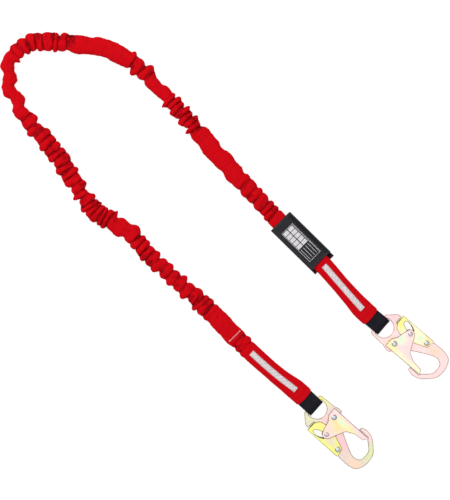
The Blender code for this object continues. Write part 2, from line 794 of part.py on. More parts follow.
def loop_rings(radius, flat, thickness, leg, half_width):
    inner = loop_line(radius, flat, leg)
    outer = loop_line(radius + thickness, flat + thickness, leg)
    rings = []
    for (xi, yi), (xo, yo) in zip(inner, outer):
        rings.append(
            [(xi, -half_width, yi), (xo, -half_width, yo), (xo, half_width, yo), (xi, half_width, yi)]
        )
    return rings


def add_end(route, tag, from_end):
    """The webbing loop and the wear pad of one end, wrapped round that hook's bar."""
    loops = (
        ("loop_webbing_", LOOP_RADIUS, LOOP_FLAT, LOOP_WEBBING, LOOP_LEG, LOOP_HALF_WIDTH,
         red_webbing),
        ("wear_pad_", PAD_RADIUS, PAD_FLAT, PAD_WEBBING, PAD_LEG, PAD_HALF_WIDTH, black_webbing),
    )
    for name, radius, flat, thickness, leg, half_width, surface in loops:
        rings = loop_rings(radius, flat, thickness, leg, half_width)
        placed = [
            [route.place(route.length - x if from_end else x, v, w) for x, v, w in ring]
            for ring in rings
        ]
        add_object(name + tag, loft(placed), surface(name + tag + "_webbing"), smooth=True)


def add_strip(route, tag, from_end):
    """A reflective strip sewn on top of the smooth stretch at one end."""
    distances = [STRIP_START + STRIP_LENGTH * k / 6 for k in range(7)]
    if from_end:
        distances = [route.length - d for d in distances]
    low = END_HALF_THICK + GAP
    shape = slab(STRIP_HALF_WIDTH, low, low + STRIP)
    surface = material("reflective_strip_" + tag + "_silver", (0.62, 0.63, 0.64), 0.45, 0.3)
    add_object("reflective_strip_" + tag, loft(swept(route, distances, lambda d: shape)), surface)


def add_stop_stitch(route):
    """The white bar of stitches across the jacket that stops the elastic."""
    middle = route.length - STOP_FROM_BAR
    low = END_HALF_THICK + GAP
    distances = [middle - STOP_HALF_WIDTH, middle + STOP_HALF_WIDTH]
    shape = slab(STOP_HALF_LENGTH, low, low + STOP_THICK)
    surface = material("stop_stitch_white", (0.85, 0.75, 0.75), 0.7)
    add_object("stop_stitch", loft(swept(route, distances, lambda d: shape)), surface)


# ---------------------------------------------------------------- label cover


def cover_heights():
    """Heights over the table of the label cover's layers."""
    tube_top = PLANE + COVER_TUBE_HALF_THICK
    card = tube_top + GAP
    roof = card + CARD + GAP + COVER_SHEET / 2
    lip = PLANE - TAPE - 1.5 * GAP - COVER_SHEET / 2 - 0.5
    loop_tape = lip + COVER_SHEET / 2 + GAP
    hook_tape = loop_tape + TAPE + GAP
    flap_lip = hook_tape + TAPE + GAP + COVER_SHEET / 2
    return card, roof, lip, loop_tape, hook_tape, flap_lip


def cover_edges():
    """The open edge and the folded edge of the cover, across from the tube's middle."""
    return COVER_OFFSET - COVER_HALF_WIDTH, COVER_OFFSET + COVER_HALF_WIDTH


def cover_length_span(length):
    """Ends of a piece of the cover, flush with the cover's end away from the hook."""
    return -COVER_LENGTH / 2, -COVER_LENGTH / 2 + length


def cover_piece(outline, span):
    """A cover section pushed along the cover's length, with x along it, y across and z up."""
    bm = plate(outline, span[0], span[1])
    swing = Matrix(((0, 0, 1), (1, 0, 0), (0, 1, 0)))
    bmesh.ops.transform(bm, matrix=swing.to_4x4(), verts=bm.verts[:])
    return bm


def box_section(left, right, low, high):
    return [(left, low), (right, low), (right, high), (left, high)]


def add_cover(route):
    """Back panel, flap on its fold, closure tapes and the inspection card under the flap."""
    card, roof, lip, loop_tape, hook_tape, flap_lip = cover_heights()
    open_edge, fold_edge = cover_edges()
    side = JACKET_HALF_WIDTH
    floor = COVER_FLOOR + COVER_SHEET / 2
    fold = PLANE - 0.15
    point, way = route.at(COVER_FROM_BAR)
    heading = math.atan2(-way[1], -way[0])
    frame = add_empty("cover_frame", Vector((*point, 0)) * MM, rotation=(0, 0, heading))
    hinge = Vector((0, fold_edge, fold)) * MM
    hinge_frame = add_empty("cover_flap_frame", hinge, frame)

    back_line = [
        (open_edge, lip),
        (-side - 1.9, lip - 0.5),
        (-side - 0.6, floor + 1.8),
        (-side + 1.8, floor),
        (side - 0.6, floor),
        (side + 2.6, floor + 1.6),
        (fold_edge - 3.5, fold - 2.2),
        (fold_edge - FOLD_SETBACK, fold - GAP / 2 - COVER_SHEET / 2),
    ]
    flap_line = [
        (open_edge, flap_lip),
        (-side - 2.3, flap_lip + 0.5),
        (-side - 1.3, roof - 2.9),
        (-side + 1.6, roof),
        (side - 1.2, roof),
        (side + 1.8, roof - 2.6),
        (fold_edge - 3.4, fold + 2.4),
        (fold_edge - FOLD_SETBACK, fold + GAP / 2 + COVER_SHEET / 2),
    ]
    black = black_webbing
    back = thick_line(back_line, COVER_SHEET)
    back_span = cover_length_span(COVER_LENGTH)
    add_object("label_cover_back", cover_piece(back, back_span), black("cover_back_fabric"), frame)

    flap = moved(thick_line(flap_line, COVER_SHEET), (fold_edge, fold))
    flap_span = cover_length_span(FLAP_LENGTH)
    flap_mesh = cover_piece(flap, flap_span)
    add_object("label_cover_flap", flap_mesh, black("cover_flap_fabric"), hinge_frame)

    tape_end = open_edge + TAPE_WIDTH
    tape_span = (-TAPE_LENGTH / 2 - 4, TAPE_LENGTH / 2 - 4)
    lower = box_section(open_edge, tape_end, loop_tape, loop_tape + TAPE)
    add_object("loop_tape", cover_piece(lower, tape_span), black("loop_tape_pile"), frame)
    upper = box_section(open_edge, tape_end, hook_tape, hook_tape + TAPE)
    upper = moved(upper, (fold_edge, fold))
    add_object("hook_tape", cover_piece(upper, tape_span), black("hook_tape_hooks"), hinge_frame)

    card_shape = box_section(-CARD_HALF_WIDTH, CARD_HALF_WIDTH, card, card + CARD)
    card_span = (-CARD_LENGTH / 2 - 4, CARD_LENGTH / 2 - 4)
    paper = material("inspection_card_paper", (0.8, 0.8, 0.78), 0.6)
    add_object("inspection_card", cover_piece(card_shape, card_span), paper, frame)


def clear_scene():
    for old in list(bpy.data.objects):
        bpy.data.objects.remove(old, do_unlink=True)


def main():
    clear_scene()
    route = Route(ROUTE)
    add_hook("hook_a", BAR_A, HEADING_A, True)
    add_hook("hook_b", BAR_B, HEADING_B, False)
    add_jacket(route)
    add_core(route)
    add_elastics(route)
    for tag, from_end in (("a", False), ("b", True)):
        add_end(route, tag, from_end)
        add_strip(route, tag, from_end)
    add_stop_stitch(route)
    add_cover(route)


main()
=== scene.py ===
"""Shock absorbing lanyard: the finished look of a gathered lanyard with a snap hook at each end.

It is laid out as an add-on, with sizes and colours in its settings, one operator for each group of
pieces, and a panel that lists them. Everything is in metres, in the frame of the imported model.
"""

import json
import math

import bmesh
import bpy
import numpy as np
from bpy.props import FloatProperty, FloatVectorProperty, IntProperty, PointerProperty
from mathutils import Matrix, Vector
from mathutils.bvhtree import BVHTree


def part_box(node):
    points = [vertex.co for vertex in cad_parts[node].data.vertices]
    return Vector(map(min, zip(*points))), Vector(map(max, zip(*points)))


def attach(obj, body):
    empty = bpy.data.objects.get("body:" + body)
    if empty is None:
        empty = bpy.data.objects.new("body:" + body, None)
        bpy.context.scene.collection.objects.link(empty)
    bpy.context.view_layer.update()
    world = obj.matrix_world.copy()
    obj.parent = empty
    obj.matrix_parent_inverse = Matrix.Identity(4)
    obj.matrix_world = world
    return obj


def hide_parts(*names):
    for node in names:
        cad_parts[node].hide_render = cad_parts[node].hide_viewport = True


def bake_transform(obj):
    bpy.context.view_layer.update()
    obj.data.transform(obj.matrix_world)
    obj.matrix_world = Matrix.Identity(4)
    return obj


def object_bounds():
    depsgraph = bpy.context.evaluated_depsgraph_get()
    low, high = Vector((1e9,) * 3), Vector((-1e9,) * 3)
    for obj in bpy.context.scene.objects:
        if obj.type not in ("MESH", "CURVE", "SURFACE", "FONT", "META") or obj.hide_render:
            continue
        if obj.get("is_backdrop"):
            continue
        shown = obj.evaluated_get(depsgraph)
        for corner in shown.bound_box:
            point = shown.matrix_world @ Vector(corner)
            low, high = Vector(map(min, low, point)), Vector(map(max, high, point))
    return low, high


bl_info = {
    "name": "Shock absorbing lanyard",
    "version": (1, 0, 0),
    "blender": (4, 5, 0),
    "location": "3D View > Sidebar > Lanyard",
    "description": "Builds the fabric, stitching and plated steel of a gathered safety lanyard",
    "category": "Add Mesh",
}

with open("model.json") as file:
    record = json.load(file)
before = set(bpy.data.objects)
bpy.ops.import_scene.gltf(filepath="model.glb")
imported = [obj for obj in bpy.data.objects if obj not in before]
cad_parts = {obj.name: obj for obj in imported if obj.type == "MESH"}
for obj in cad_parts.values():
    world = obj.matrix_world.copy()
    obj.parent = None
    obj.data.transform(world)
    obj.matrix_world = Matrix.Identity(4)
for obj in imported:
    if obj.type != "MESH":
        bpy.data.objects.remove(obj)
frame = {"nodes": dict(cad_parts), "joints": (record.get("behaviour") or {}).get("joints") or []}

MM = 0.001
TAU = 2 * math.pi
SEED = 7

# Middle of each bar and the heading of each hook, from the joints that the hooks swing on
JOINTS = {joint["name"]: joint for joint in frame["joints"]}

# The webbing's way from bar A to bar B, in metres
ROUTE = np.array((
    (24, 92), (-3, 115), (-23, 137), (-45, 162), (-66, 186), (-102, 221), (-137, 256), (-170, 292),
    (-204, 328), (-236, 364), (-268, 401), (-300, 438), (-332, 471), (-354, 496), (-380, 516),
    (-410, 532), (-445, 539), (-480, 542), (-514, 545), (-541, 540), (-562, 523), (-571, 499),
    (-567, 469), (-554, 442), (-533, 410), (-509, 384), (-487, 355), (-468, 324), (-450, 296),
    (-428, 270), (-399, 254), (-373, 235), (-349, 207), (-308, 168), (-264, 128), (-210, 75),
    (-183, 48), (-140, 10), (-109, -14), (-83, -37),
)) * MM

# Stretches of the gathered jacket, each with its own kind of fold: where it ends, the distance
# between creases, the half-width at a crest, how far a crease draws in, how far the jacket sways
# from side to side, and the depth of the creases as a share. Lengths are in millimetres.
FIRST_CREASE = 234
STRETCHES = (
    (265, 10, 14.5, 2.0, 0.5, 0.85), (325, 15, 15.0, 2.5, 0.8, 0.60),
    (430, 27, 15.6, 2.0, 1.0, 0.08), (498, 10, 14.5, 3.2, 2.0, 0.75),
    (543, 20, 11.5, 1.8, 1.2, 0.12), (590, 16, 15.5, 4.5, 3.0, 0.70),
    (687, 30, 16.0, 2.2, 0.8, 0.10), (765, 12.7, 15.6, 3.0, 0.8, 0.88),
    (792, 14, 13.0, 2.5, 1.0, 0.40), (889, 19, 12.0, 1.6, 3.0, 0.06),
    (936, 14, 14.4, 3.0, 1.2, 0.65), (1022, 12, 15.5, 2.6, 0.9, 0.88),
    (1059, 12, 14.0, 3.5, 3.0, 0.60), (1112, 9.5, 16.4, 2.8, 1.0, 0.90),
    (1155, 22, 15.5, 3.5, 1.5, 0.20), (1203, 11, 14.4, 2.6, 1.0, 0.88),
    (1295, 16, 14.2, 3.4, 1.6, 0.50), (1328, 12, 16.0, 2.4, 1.0, 0.90),
    (1390, 28, 16.0, 1.6, 0.6, 0.12), (1412, 12, 15.0, 1.6, 0.3, 0.70),
)
LAST_CREASE = 1424
LAST_GAP = 12
GATHERED_FROM = 232
COVER_MIDDLE = 180
# The reflective strips, in millimetres from a bar, with their half-width and their stitch length
STRIP_FROM, STRIP_TO = 37.5, 130.5
STRIP_HALF, STRIP_STITCH = 4.8, 2.35


def lay_folds():
    """The creases in order along the jacket, one to a row, in millimetres.

    A row is where the crease meets the left edge, the reach to the left there and at the crest
    that follows, the same three for the right, and the depth of the crease as a share.
    Each stretch is cut into equal steps near its own distance, and a seeded draw moves each
    crease, slants it, and changes its reaches. The sway turns over from one crease to the next.
    """
    rng = np.random.RandomState(SEED)
    rows = []
    start = FIRST_CREASE
    for end, gap, crest, draw, sway, depth in STRETCHES:
        steps = max(1, round((end - start) / gap))
        for k in range(steps):
            shift, slant, first, second, third, fourth = rng.uniform(-1, 1, 6)
            at = start + (end - start) * k / steps + 0.14 * gap * shift * (k > 0)
            turn = sway if len(rows) % 2 else -sway
            rows.append((
                at + 0.12 * gap * slant, crest - draw * (1 + 0.5 * first) + turn,
                crest + 1.2 * third + turn, at - 0.12 * gap * slant,
                crest - draw * (1 + 0.5 * second) - turn, crest + 1.2 * fourth - turn, depth,
            ))
        start = end
    rows[0] = (FIRST_CREASE, 14.4, 14.6, FIRST_CREASE, 14.4, 15.0, 0.2)
    before = LAST_CREASE - LAST_GAP
    rows.append((before, 14.2, 14.4, before, 14.4, 14.6, 0.25))
    rows.append((LAST_CREASE, 14.2, 14.2, LAST_CREASE, 14.2, 14.2, 0.0))
    return np.array(rows)


FOLDS = lay_folds()


# ---------------------------------------------------------------- settings


class LanyardSettings(bpy.types.PropertyGroup):
    """Sizes and colours that a user would change."""

    red: FloatVectorProperty(
        name="Jacket red", description="Colour of the jacket and the loops",
        default=(0.60, 0.0006, 0.0052), subtype="COLOR", min=0, max=1,
    )
    black: FloatVectorProperty(
        name="Pad black", description="Colour of the wear pads",
        default=(0.0062, 0.0064, 0.0112), subtype="COLOR", min=0, max=1,
    )
    cover_black: FloatVectorProperty(
        name="Cover black", description="Colour of the label cover",
        default=(0.0165, 0.0165, 0.0195), subtype="COLOR", min=0, max=1,
    )
    silver: FloatVectorProperty(
        name="Strip silver", description="Colour of the reflective strips",
        default=(0.80, 0.70, 0.71), subtype="COLOR", min=0, max=1,
    )
    thread: FloatVectorProperty(
        name="Thread", description="Colour of the bar of stitches across the jacket",
        default=(0.95, 0.80, 0.80), subtype="COLOR", min=0, max=1,
    )
    weave: FloatProperty(
        name="Weave pitch", description="Distance between two threads of the jacket",
        default=0.9 * MM, unit="LENGTH", min=0.2 * MM, max=3 * MM, precision=5,
    )
    fold_depth: FloatProperty(
        name="Fold depth", description="How far the jacket's creases go in, as a share",
        default=0.62, min=0, max=0.85, subtype="FACTOR",
    )
    pinch: FloatProperty(
        name="Pinch", description="How narrow the creases are against the lobes between them",
        default=0.82, min=0, max=0.98, subtype="FACTOR",
    )
    ring_step: FloatProperty(
        name="Ring step", description="Distance between two rings of the jacket's surface",
        default=1.2 * MM, unit="LENGTH", min=0.5 * MM, max=4 * MM, precision=5,
    )
    sides: IntProperty(
        name="Sides", description="Points round each ring of the jacket", default=48, min=16, max=96,
    )


def settings():
    return bpy.context.scene.lanyard


# ---------------------------------------------------------------- surfaces


def surface(name, points, finish, around=False, along=False, caps=True, uv=None, marks=None):
    """A mesh from a grid of points, one row after another.

    Each square of the grid is a face. The grid joins up with itself around its columns, and along
    its rows where that is asked for, and a flat face closes each open end of a joined-up grid.
    """
    rows, columns = points.shape[:2]
    row, column = np.meshgrid(
        np.arange(rows if along else rows - 1),
        np.arange(columns if around else columns - 1), indexing="ij",
    )
    row, column = row.ravel(), column.ravel()
    step = np.array(((0, 0), (0, 1), (1, 1), (1, 0)))
    corner_rows = row[:, None] + step[:, 0]
    corner_columns = column[:, None] + step[:, 1]
    loops = (corner_rows % rows) * columns + corner_columns % columns
    sizes = np.full(len(loops), 4)
    loops = loops.ravel()
    capped = caps and around and not along
    if capped:
        first = np.arange(columns)[::-1]
        last = (rows - 1) * columns + np.arange(columns)
        loops = np.concatenate((loops, first, last))
        sizes = np.concatenate((sizes, (columns, columns)))
    mesh = bpy.data.meshes.new(name)
    mesh.vertices.add(rows * columns)
    mesh.vertices.foreach_set("co", points.reshape(-1).astype(np.float32))
    mesh.loops.add(len(loops))
    mesh.loops.foreach_set("vertex_index", loops.astype(np.int32))
    mesh.polygons.add(len(sizes))
    starts = np.concatenate(((0,), np.cumsum(sizes)[:-1]))
    mesh.polygons.foreach_set("loop_start", starts.astype(np.int32))
    mesh.update(calc_edges=True)
    if uv is not None:
        placed = uv[corner_rows.ravel(), corner_columns.ravel()]
        if capped:
            placed = np.vstack((placed, uv[0, :columns][::-1], uv[-1, :columns]))
        layer = mesh.uv_layers.new(name="cloth")
        layer.data.foreach_set("uv", placed.reshape(-1).astype(np.float32))
    for label, values in (marks or {}).items():
        attribute = mesh.attributes.new(label, "FLOAT", "POINT")
        attribute.data.foreach_set("value", values.reshape(-1).astype(np.float32))
    return finished(name, mesh, finish)


def finished(name, mesh, finish, sharp=50):
    """An object round a mesh, with its faces turned outwards."""
    bm = bmesh.new()
    bm.from_mesh(mesh)
    bmesh.ops.recalc_face_normals(bm, faces=bm.faces[:])
    bm.to_mesh(mesh)
    bm.free()
    return linked(name, mesh, finish, sharp)


def linked(name, mesh, finish, sharp):
    """An object with this finish and smooth shading, broken at edges over a sharp angle."""
    mesh.materials.append(finish)
    mesh.shade_smooth()
    mesh.set_sharp_from_angle(angle=math.radians(sharp))
    made = bpy.data.objects.new(name, mesh)
    bpy.context.scene.collection.objects.link(made)
    return made


def grid_uv(lengths, widths):
    """Cloth coordinates in metres for a grid, from its distances along and around."""
    v, u = np.meshgrid(lengths, widths, indexing="ij")
    return np.stack((u, v), axis=-1)


def tube(name, points, radius, finish, sides=8):
    """A round wire: a circle carried along a path, turned no more than the path turns.

    Each ring stands square to the path, on the two directions left by taking the path's own
    direction out of a fixed guide.
    """
    points = np.asarray(points, float)
    way = unit(np.gradient(points, axis=0))
    guide = np.array((0.0, 0.0, 1.0)) if np.abs(way[:, 2]).max() < 0.95 else np.array((1.0, 0, 0))
    one = unit(np.cross(way, guide))
    two = np.cross(way, one)
    angle = np.linspace(0, TAU, sides, endpoint=False)
    ring = np.cos(angle)[None, :, None] * one[:, None] + np.sin(angle)[None, :, None] * two[:, None]
    return surface(name, points[:, None] + radius * ring, finish, around=True)


def stitches(name, starts, ends, ups, finish, radius=0.22 * MM, rise=0.35 * MM):
    """A row of stitches as one mesh, each a short thread that arches from its start to its end.

    A stitch is four rings of five points: its middle line is a straight step from start to end
    plus a half sine in the up direction, and its rings shrink to nothing at both ends.
    """
    starts, ends, ups = (np.asarray(item, float) for item in (starts, ends, ups))
    share = np.linspace(0, 1, 5)
    line = starts[:, None] + (ends - starts)[:, None] * share[None, :, None]
    line = line + ups[:, None] * (np.sin(share * math.pi) * rise)[None, :, None]
    way = unit(ends - starts)
    across = unit(np.cross(way, ups))
    angle = np.linspace(0, TAU, 5, endpoint=False)
    size = radius * np.array((0.35, 0.9, 1.0, 0.9, 0.35))
    ring = (
        np.cos(angle)[None, :, None] * across[:, None] + np.sin(angle)[None, :, None] * ups[:, None]
    )
    points = line[:, :, None] + size[None, :, None, None] * ring[:, None]
    count = len(starts)
    block = np.arange(25).reshape(5, 5)
    quads = np.stack(
        (block[:-1], np.roll(block[:-1], -1, 1), np.roll(block[1:], -1, 1), block[1:]), axis=-1,
    ).reshape(-1, 4)
    base = (np.arange(count) * 25)[:, None, None]
    faces = (quads[None] + base).reshape(-1, 4).tolist()
    for cap in (block[0][::-1], block[-1]):
        faces += (cap[None] + base[:, :, 0]).tolist()
    mesh = bpy.data.meshes.new(name)
    mesh.from_pydata(points.reshape(-1, 3).tolist(), [], faces)
    return finished(name, mesh, finish, 80)


def unit(vectors):
    size = np.linalg.norm(vectors, axis=-1, keepdims=True)
    return vectors / np.maximum(size, 1e-12)


def run_along(line):
    """The distance run from a line's first point to each of its points."""
    return np.concatenate(((0,), np.cumsum(np.linalg.norm(np.diff(line, axis=0), axis=1))))


def powered(value, power):
    """A power of the size of a value, with the value's own sign."""
    return np.sign(value) * np.abs(value) ** power


def smoothstep(value):
    value = np.clip(value, 0, 1)
    return value * value * (3 - 2 * value)


# ---------------------------------------------------------------- the route


def build_route(samples=16):
    """A smooth curve through the route's points, as xy and the distance run at each point.

    It is the centripetal Catmull-Rom curve, whose knots are spaced by the square root of the
    distance between the points, with one more point out along each hook.
    """
    bars = [np.array(JOINTS[f"hook_{tag}_swing"]["pos_m"][:2]) for tag in "ab"]
    ways = [hook_axes(tag)[1][:2] for tag in "ab"]
    inside = ROUTE[1:-1]
    knots = np.vstack((bars[0] + 0.035 * ways[0], bars[0], inside, bars[1], bars[1] + 0.035 * ways[1]))
    pieces = []
    for i in range(1, len(knots) - 2):
        four = knots[i - 1 : i + 3]
        steps = np.linalg.norm(np.diff(four / MM, axis=0), axis=1) ** 0.5
        t = np.concatenate(((0,), np.cumsum(steps)))
        s = np.linspace(t[1], t[2], samples, endpoint=False)[:, None]
        a = [(four[k] * (t[k + 1] - s) + four[k + 1] * (s - t[k])) / (t[k + 1] - t[k]) for k in range(3)]
        b = [(a[k] * (t[k + 2] - s) + a[k + 1] * (s - t[k])) / (t[k + 2] - t[k]) for k in range(2)]
        pieces.append((b[0] * (t[2] - s) + b[1] * (s - t[1])) / (t[2] - t[1]))
    xy = np.vstack((*pieces, knots[-2:-1]))
    return xy, run_along(xy)


def hook_axes(tag):
    """A hook's own frame: the middle of its bar, the way to its nose, to its gate, and up."""
    swing = JOINTS[f"hook_{tag}_swing"]
    bar = np.array(swing["pos_m"])
    axis = unit(np.array(swing["axis"]))
    nose = np.array((-axis[1], axis[0], 0.0))
    pivot = np.array(JOINTS[f"hook_{tag}_gate_pivot"]["pos_m"]) - bar
    side = pivot - nose * (pivot @ nose)
    side = unit(np.array((side[0], side[1], 0.0)))
    return bar, nose, side, np.cross(nose, side)


def on_route(distance, reach=3 * MM):
    """Points at these distances and the directions of travel there, straight on past either end."""
    distance = np.asarray(distance, float)
    length = RUN[-1]
    inside = np.clip(distance, 0, length)

    def at(value):
        value = np.clip(value, 0, length)
        return np.stack([np.interp(value, RUN, XY[:, k]) for k in (0, 1)], axis=-1)

    way = unit(at(inside + reach) - at(inside - reach))
    way = np.where((distance < 0)[..., None], -hook_axes("a")[1][:2], way)
    way = np.where((distance > length)[..., None], hook_axes("b")[1][:2], way)
    return at(inside) + way * (distance - inside)[..., None], way


def beside_route(distance, across, above, reach=3 * MM):
    """Points beside the route: across to its left, and above the hooks' middle plane."""
    point, way = on_route(distance, reach)
    left = np.stack((-way[..., 1], way[..., 0]), axis=-1)
    flat = point + left * np.asarray(across)[..., None]
    height = np.broadcast_to(PLANE + np.asarray(above), flat.shape[:-1])
    return np.concatenate((flat, height[..., None]), axis=-1)


XY, RUN = build_route()
LENGTH = RUN[-1]
PLANE = JOINTS["hook_a_swing"]["pos_m"][2]


# ---------------------------------------------------------------- finishes


def add_node(tree, kind, links=None, **values):
    """One shader node, with its settings by name and its sockets by index or name in links."""
    made = tree.nodes.new(kind)
    for key, value in values.items():
        setattr(made, key, value)
    for key, value in (links or {}).items():
        if isinstance(value, bpy.types.NodeSocket):
            tree.links.new(value, made.inputs[key])
        else:
            made.inputs[key].default_value = value
    return made


def new_finish(name, **sockets):
    """A material with an empty principled shader, and the sockets that are the same all over."""
    made = bpy.data.materials.new(name)
    made.use_nodes = True
    shader = made.node_tree.nodes["Principled BSDF"]
    for key, value in sockets.items():
        shader.inputs[key.replace("_", " ").title().replace("Ior", "IOR")].default_value = value
    return made, made.node_tree, shader


def rgba(colour, level=1.0):
    return (*(channel * level for channel in colour), 1.0)


def noise(tree, vector, scale, detail=3.0, rough=0.55):
    links = {"Vector": vector, "Scale": scale, "Detail": detail, "Roughness": rough}
    return add_node(tree, "ShaderNodeTexNoise", links).outputs["Fac"]


def maths(tree, operation, *values):
    links = dict(enumerate(values))
    return add_node(tree, "ShaderNodeMath", links, operation=operation).outputs[0]


def ranged(tree, value, low, high, to_low, to_high):
    links = {0: value, 1: low, 2: high, 3: to_low, 4: to_high}
    return add_node(tree, "ShaderNodeMapRange", links).outputs[0]


def mixed(tree, factor, one, two, blend="MIX"):
    links = {0: factor, 6: one, 7: two}
    made = add_node(tree, "ShaderNodeMix", links, data_type="RGBA", blend_type=blend)
    return made.outputs[2]


def object_place(tree):
    return add_node(tree, "ShaderNodeTexCoord").outputs["Object"]


def marked(tree, name):
    return add_node(tree, "ShaderNodeAttribute", attribute_name=name).outputs["Fac"]


def painted(tree, shader, tone, rough):
    tree.links.new(tone, shader.inputs["Base Color"])
    tree.links.new(rough, shader.inputs["Roughness"])


def bumped(tree, shader, height, depth, strength=1.0):
    bump = add_node(tree, "ShaderNodeBump", {"Height": height, "Distance": depth, "Strength": strength})
    tree.links.new(bump.outputs[0], shader.inputs["Normal"])


def cloth_lines(tree, pitch, across_pitch=None):
    """The distance across the cloth, its waves across and along, and their product, the weave."""
    coordinates = add_node(tree, "ShaderNodeUVMap", uv_map="cloth").outputs[0]
    parts = add_node(tree, "ShaderNodeSeparateXYZ", {0: coordinates})
    waves = []
    for axis, step in ((0, across_pitch or pitch), (1, pitch)):
        scaled = maths(tree, "MULTIPLY", parts.outputs[axis], math.pi / step)
        waves.append(maths(tree, "SINE", scaled))
    return parts.outputs[0], waves, maths(tree, "MULTIPLY", waves[0], waves[1])


def woven(name, colour, pitch, across_pitch=None, crease=None, shade=0.35, depth=0.12 * MM, rough=0.78):
    """Woven cloth: threads over and under, darker in the gaps, uneven dye, a soft sheen, and painted crease
    shade.
    """
    made, tree, shader = new_finish(
        name, roughness=rough, specular_ior_level=0.06, sheen_weight=0.12, sheen_roughness=0.4,
    )
    shader.inputs["Sheen Tint"].default_value = rgba([min(1.4 * value, 1) for value in colour])
    weave = cloth_lines(tree, pitch, across_pitch)[2]
    place = object_place(tree)
    blotch = noise(tree, place, 55.0, 4.0)
    fine = noise(tree, place, 900.0, 2.0)
    level = ranged(tree, weave, -0.8, 0.8, 0.0, 1.0)
    tone = mixed(tree, level, rgba(colour, 0.80), rgba(colour, 1.06))
    tone = mixed(tree, ranged(tree, blotch, 0.35, 0.7, 0.0, 0.5), tone, rgba(colour, 0.84))
    tone = mixed(tree, ranged(tree, fine, 0.4, 0.75, 0.0, 0.30), tone, rgba(colour, 1.18))
    # painted shade: the crease mark darkens the cloth down in the creases
    if crease:
        shade_mark = marked(tree, crease)
        tone = mixed(tree, ranged(tree, shade_mark, 0.15, 1.0, 0.0, 1.0), tone, rgba(colour, shade))
    painted(tree, shader, tone, ranged(tree, fine, 0.3, 0.7, rough - 0.08, rough + 0.1))
    fuzz = maths(tree, "MULTIPLY_ADD", fine, 0.5, level)
    bumped(tree, shader, fuzz, depth)
    return made


def webbed(name, colour, pitch=1.15 * MM, depth=0.22 * MM):
    """Ribbed webbing: lengthwise ribs, broken by the weft, with a smooth edge on each side."""
    made, tree, shader = new_finish(
        name, roughness=0.62, specular_ior_level=0.14, sheen_weight=0.05, sheen_roughness=0.4,
    )
    waves, weave = cloth_lines(tree, 0.55 * pitch, pitch)[1:]
    place = object_place(tree)
    blotch = noise(tree, place, 90.0, 4.0)
    fine = noise(tree, place, 1200.0, 2.0)
    rib = maths(tree, "ABSOLUTE", waves[0])
    height = maths(tree, "MULTIPLY_ADD", weave, 0.22, rib)
    level = ranged(tree, height, 0.1, 1.1, 0.0, 1.0)
    tone = mixed(tree, level, rgba(colour, 0.55), rgba(colour, 1.25))
    tone = mixed(tree, ranged(tree, fine, 0.45, 0.8, 0.0, 0.5), tone, rgba(colour, 2.0))
    tone = mixed(tree, ranged(tree, blotch, 0.4, 0.7, 0.0, 0.4), tone, rgba(colour, 0.75))
    painted(tree, shader, tone, ranged(tree, blotch, 0.3, 0.7, 0.52, 0.72))
    bumped(tree, shader, maths(tree, "MULTIPLY_ADD", fine, 0.3, height), depth)
    return made


def reflective(name, colour):
    """Silver reflective tape: fine glass beads, faint ribs across, and a grey bruise here and there."""
    made, tree, shader = new_finish(
        name, roughness=0.42, metallic=0.35, specular_ior_level=0.6, coat_weight=0.15,
        coat_roughness=0.3,
    )
    waves = cloth_lines(tree, 1.5 * MM, 0.6 * MM)[1]
    place = object_place(tree)
    beads = noise(tree, place, 2600.0, 1.0)
    streak = noise(tree, place, 160.0, 4.0)
    tone = mixed(tree, ranged(tree, streak, 0.35, 0.7, 0.0, 0.85), rgba(colour), rgba(colour, 0.62))
    tone = mixed(tree, ranged(tree, beads, 0.4, 0.7, 0.0, 0.5), tone, rgba((1, 1, 1), 0.92))
    # painted shade: the crease mark darkens the valleys between the puckers
    shade_mark = marked(tree, "crease")
    tone = mixed(tree, shade_mark, tone, rgba(colour, 0.5))
    painted(tree, shader, tone, ranged(tree, beads, 0.3, 0.7, 0.34, 0.58))
    bumped(tree, shader, maths(tree, "MULTIPLY_ADD", waves[1], 0.4, beads), 0.06 * MM)
    return made


def threads(name, colour):
    """Sewing thread: a fine uneven grain on a soft satin surface."""
    made, tree, shader = new_finish(name, roughness=0.55, sheen_weight=0.3, specular_ior_level=0.4)
    place = object_place(tree)
    fine = noise(tree, place, 1500.0, 2.0)
    tone = mixed(tree, ranged(tree, fine, 0.35, 0.7, 0.0, 1.0), rgba(colour, 0.78), rgba(colour, 1.05))
    painted(tree, shader, tone, ranged(tree, fine, 0.3, 0.7, 0.45, 0.65))
    bumped(tree, shader, fine, 0.08 * MM)
    return made


def tape_pile(name, colour, scale):
    """Closure tape: a dense pile of hooks or loops."""
    made, tree, shader = new_finish(name, roughness=0.85, sheen_weight=0.5, specular_ior_level=0.2)
    place = object_place(tree)
    links = {"Vector": place, "Scale": scale}
    cells = add_node(tree, "ShaderNodeTexVoronoi", links).outputs["Distance"]
    tone = mixed(tree, ranged(tree, cells, 0.0, 0.6, 0.0, 1.0), rgba(colour, 1.7), rgba(colour, 0.5))
    painted(tree, shader, tone, ranged(tree, cells, 0.0, 0.6, 0.7, 0.95))
    bumped(tree, shader, maths(tree, "SUBTRACT", 1.0, cells), 0.25 * MM)
    return made


def in_hook(tree, tag):
    """Coordinates in a hook's own frame in metres, from Object coordinates."""
    bar, nose, side, up = hook_axes(tag)
    place = object_place(tree)
    shifted = add_node(tree, "ShaderNodeVectorMath", {0: place, 1: tuple(bar)}, operation="SUBTRACT")
    axes = []
    for way in (nose, side, up):
        links = {0: shifted.outputs[0], 1: tuple(way)}
        axes.append(add_node(tree, "ShaderNodeVectorMath", links, operation="DOT_PRODUCT").outputs["Value"])
    combined = add_node(tree, "ShaderNodeCombineXYZ", dict(enumerate(axes)))
    return combined.outputs[0], place


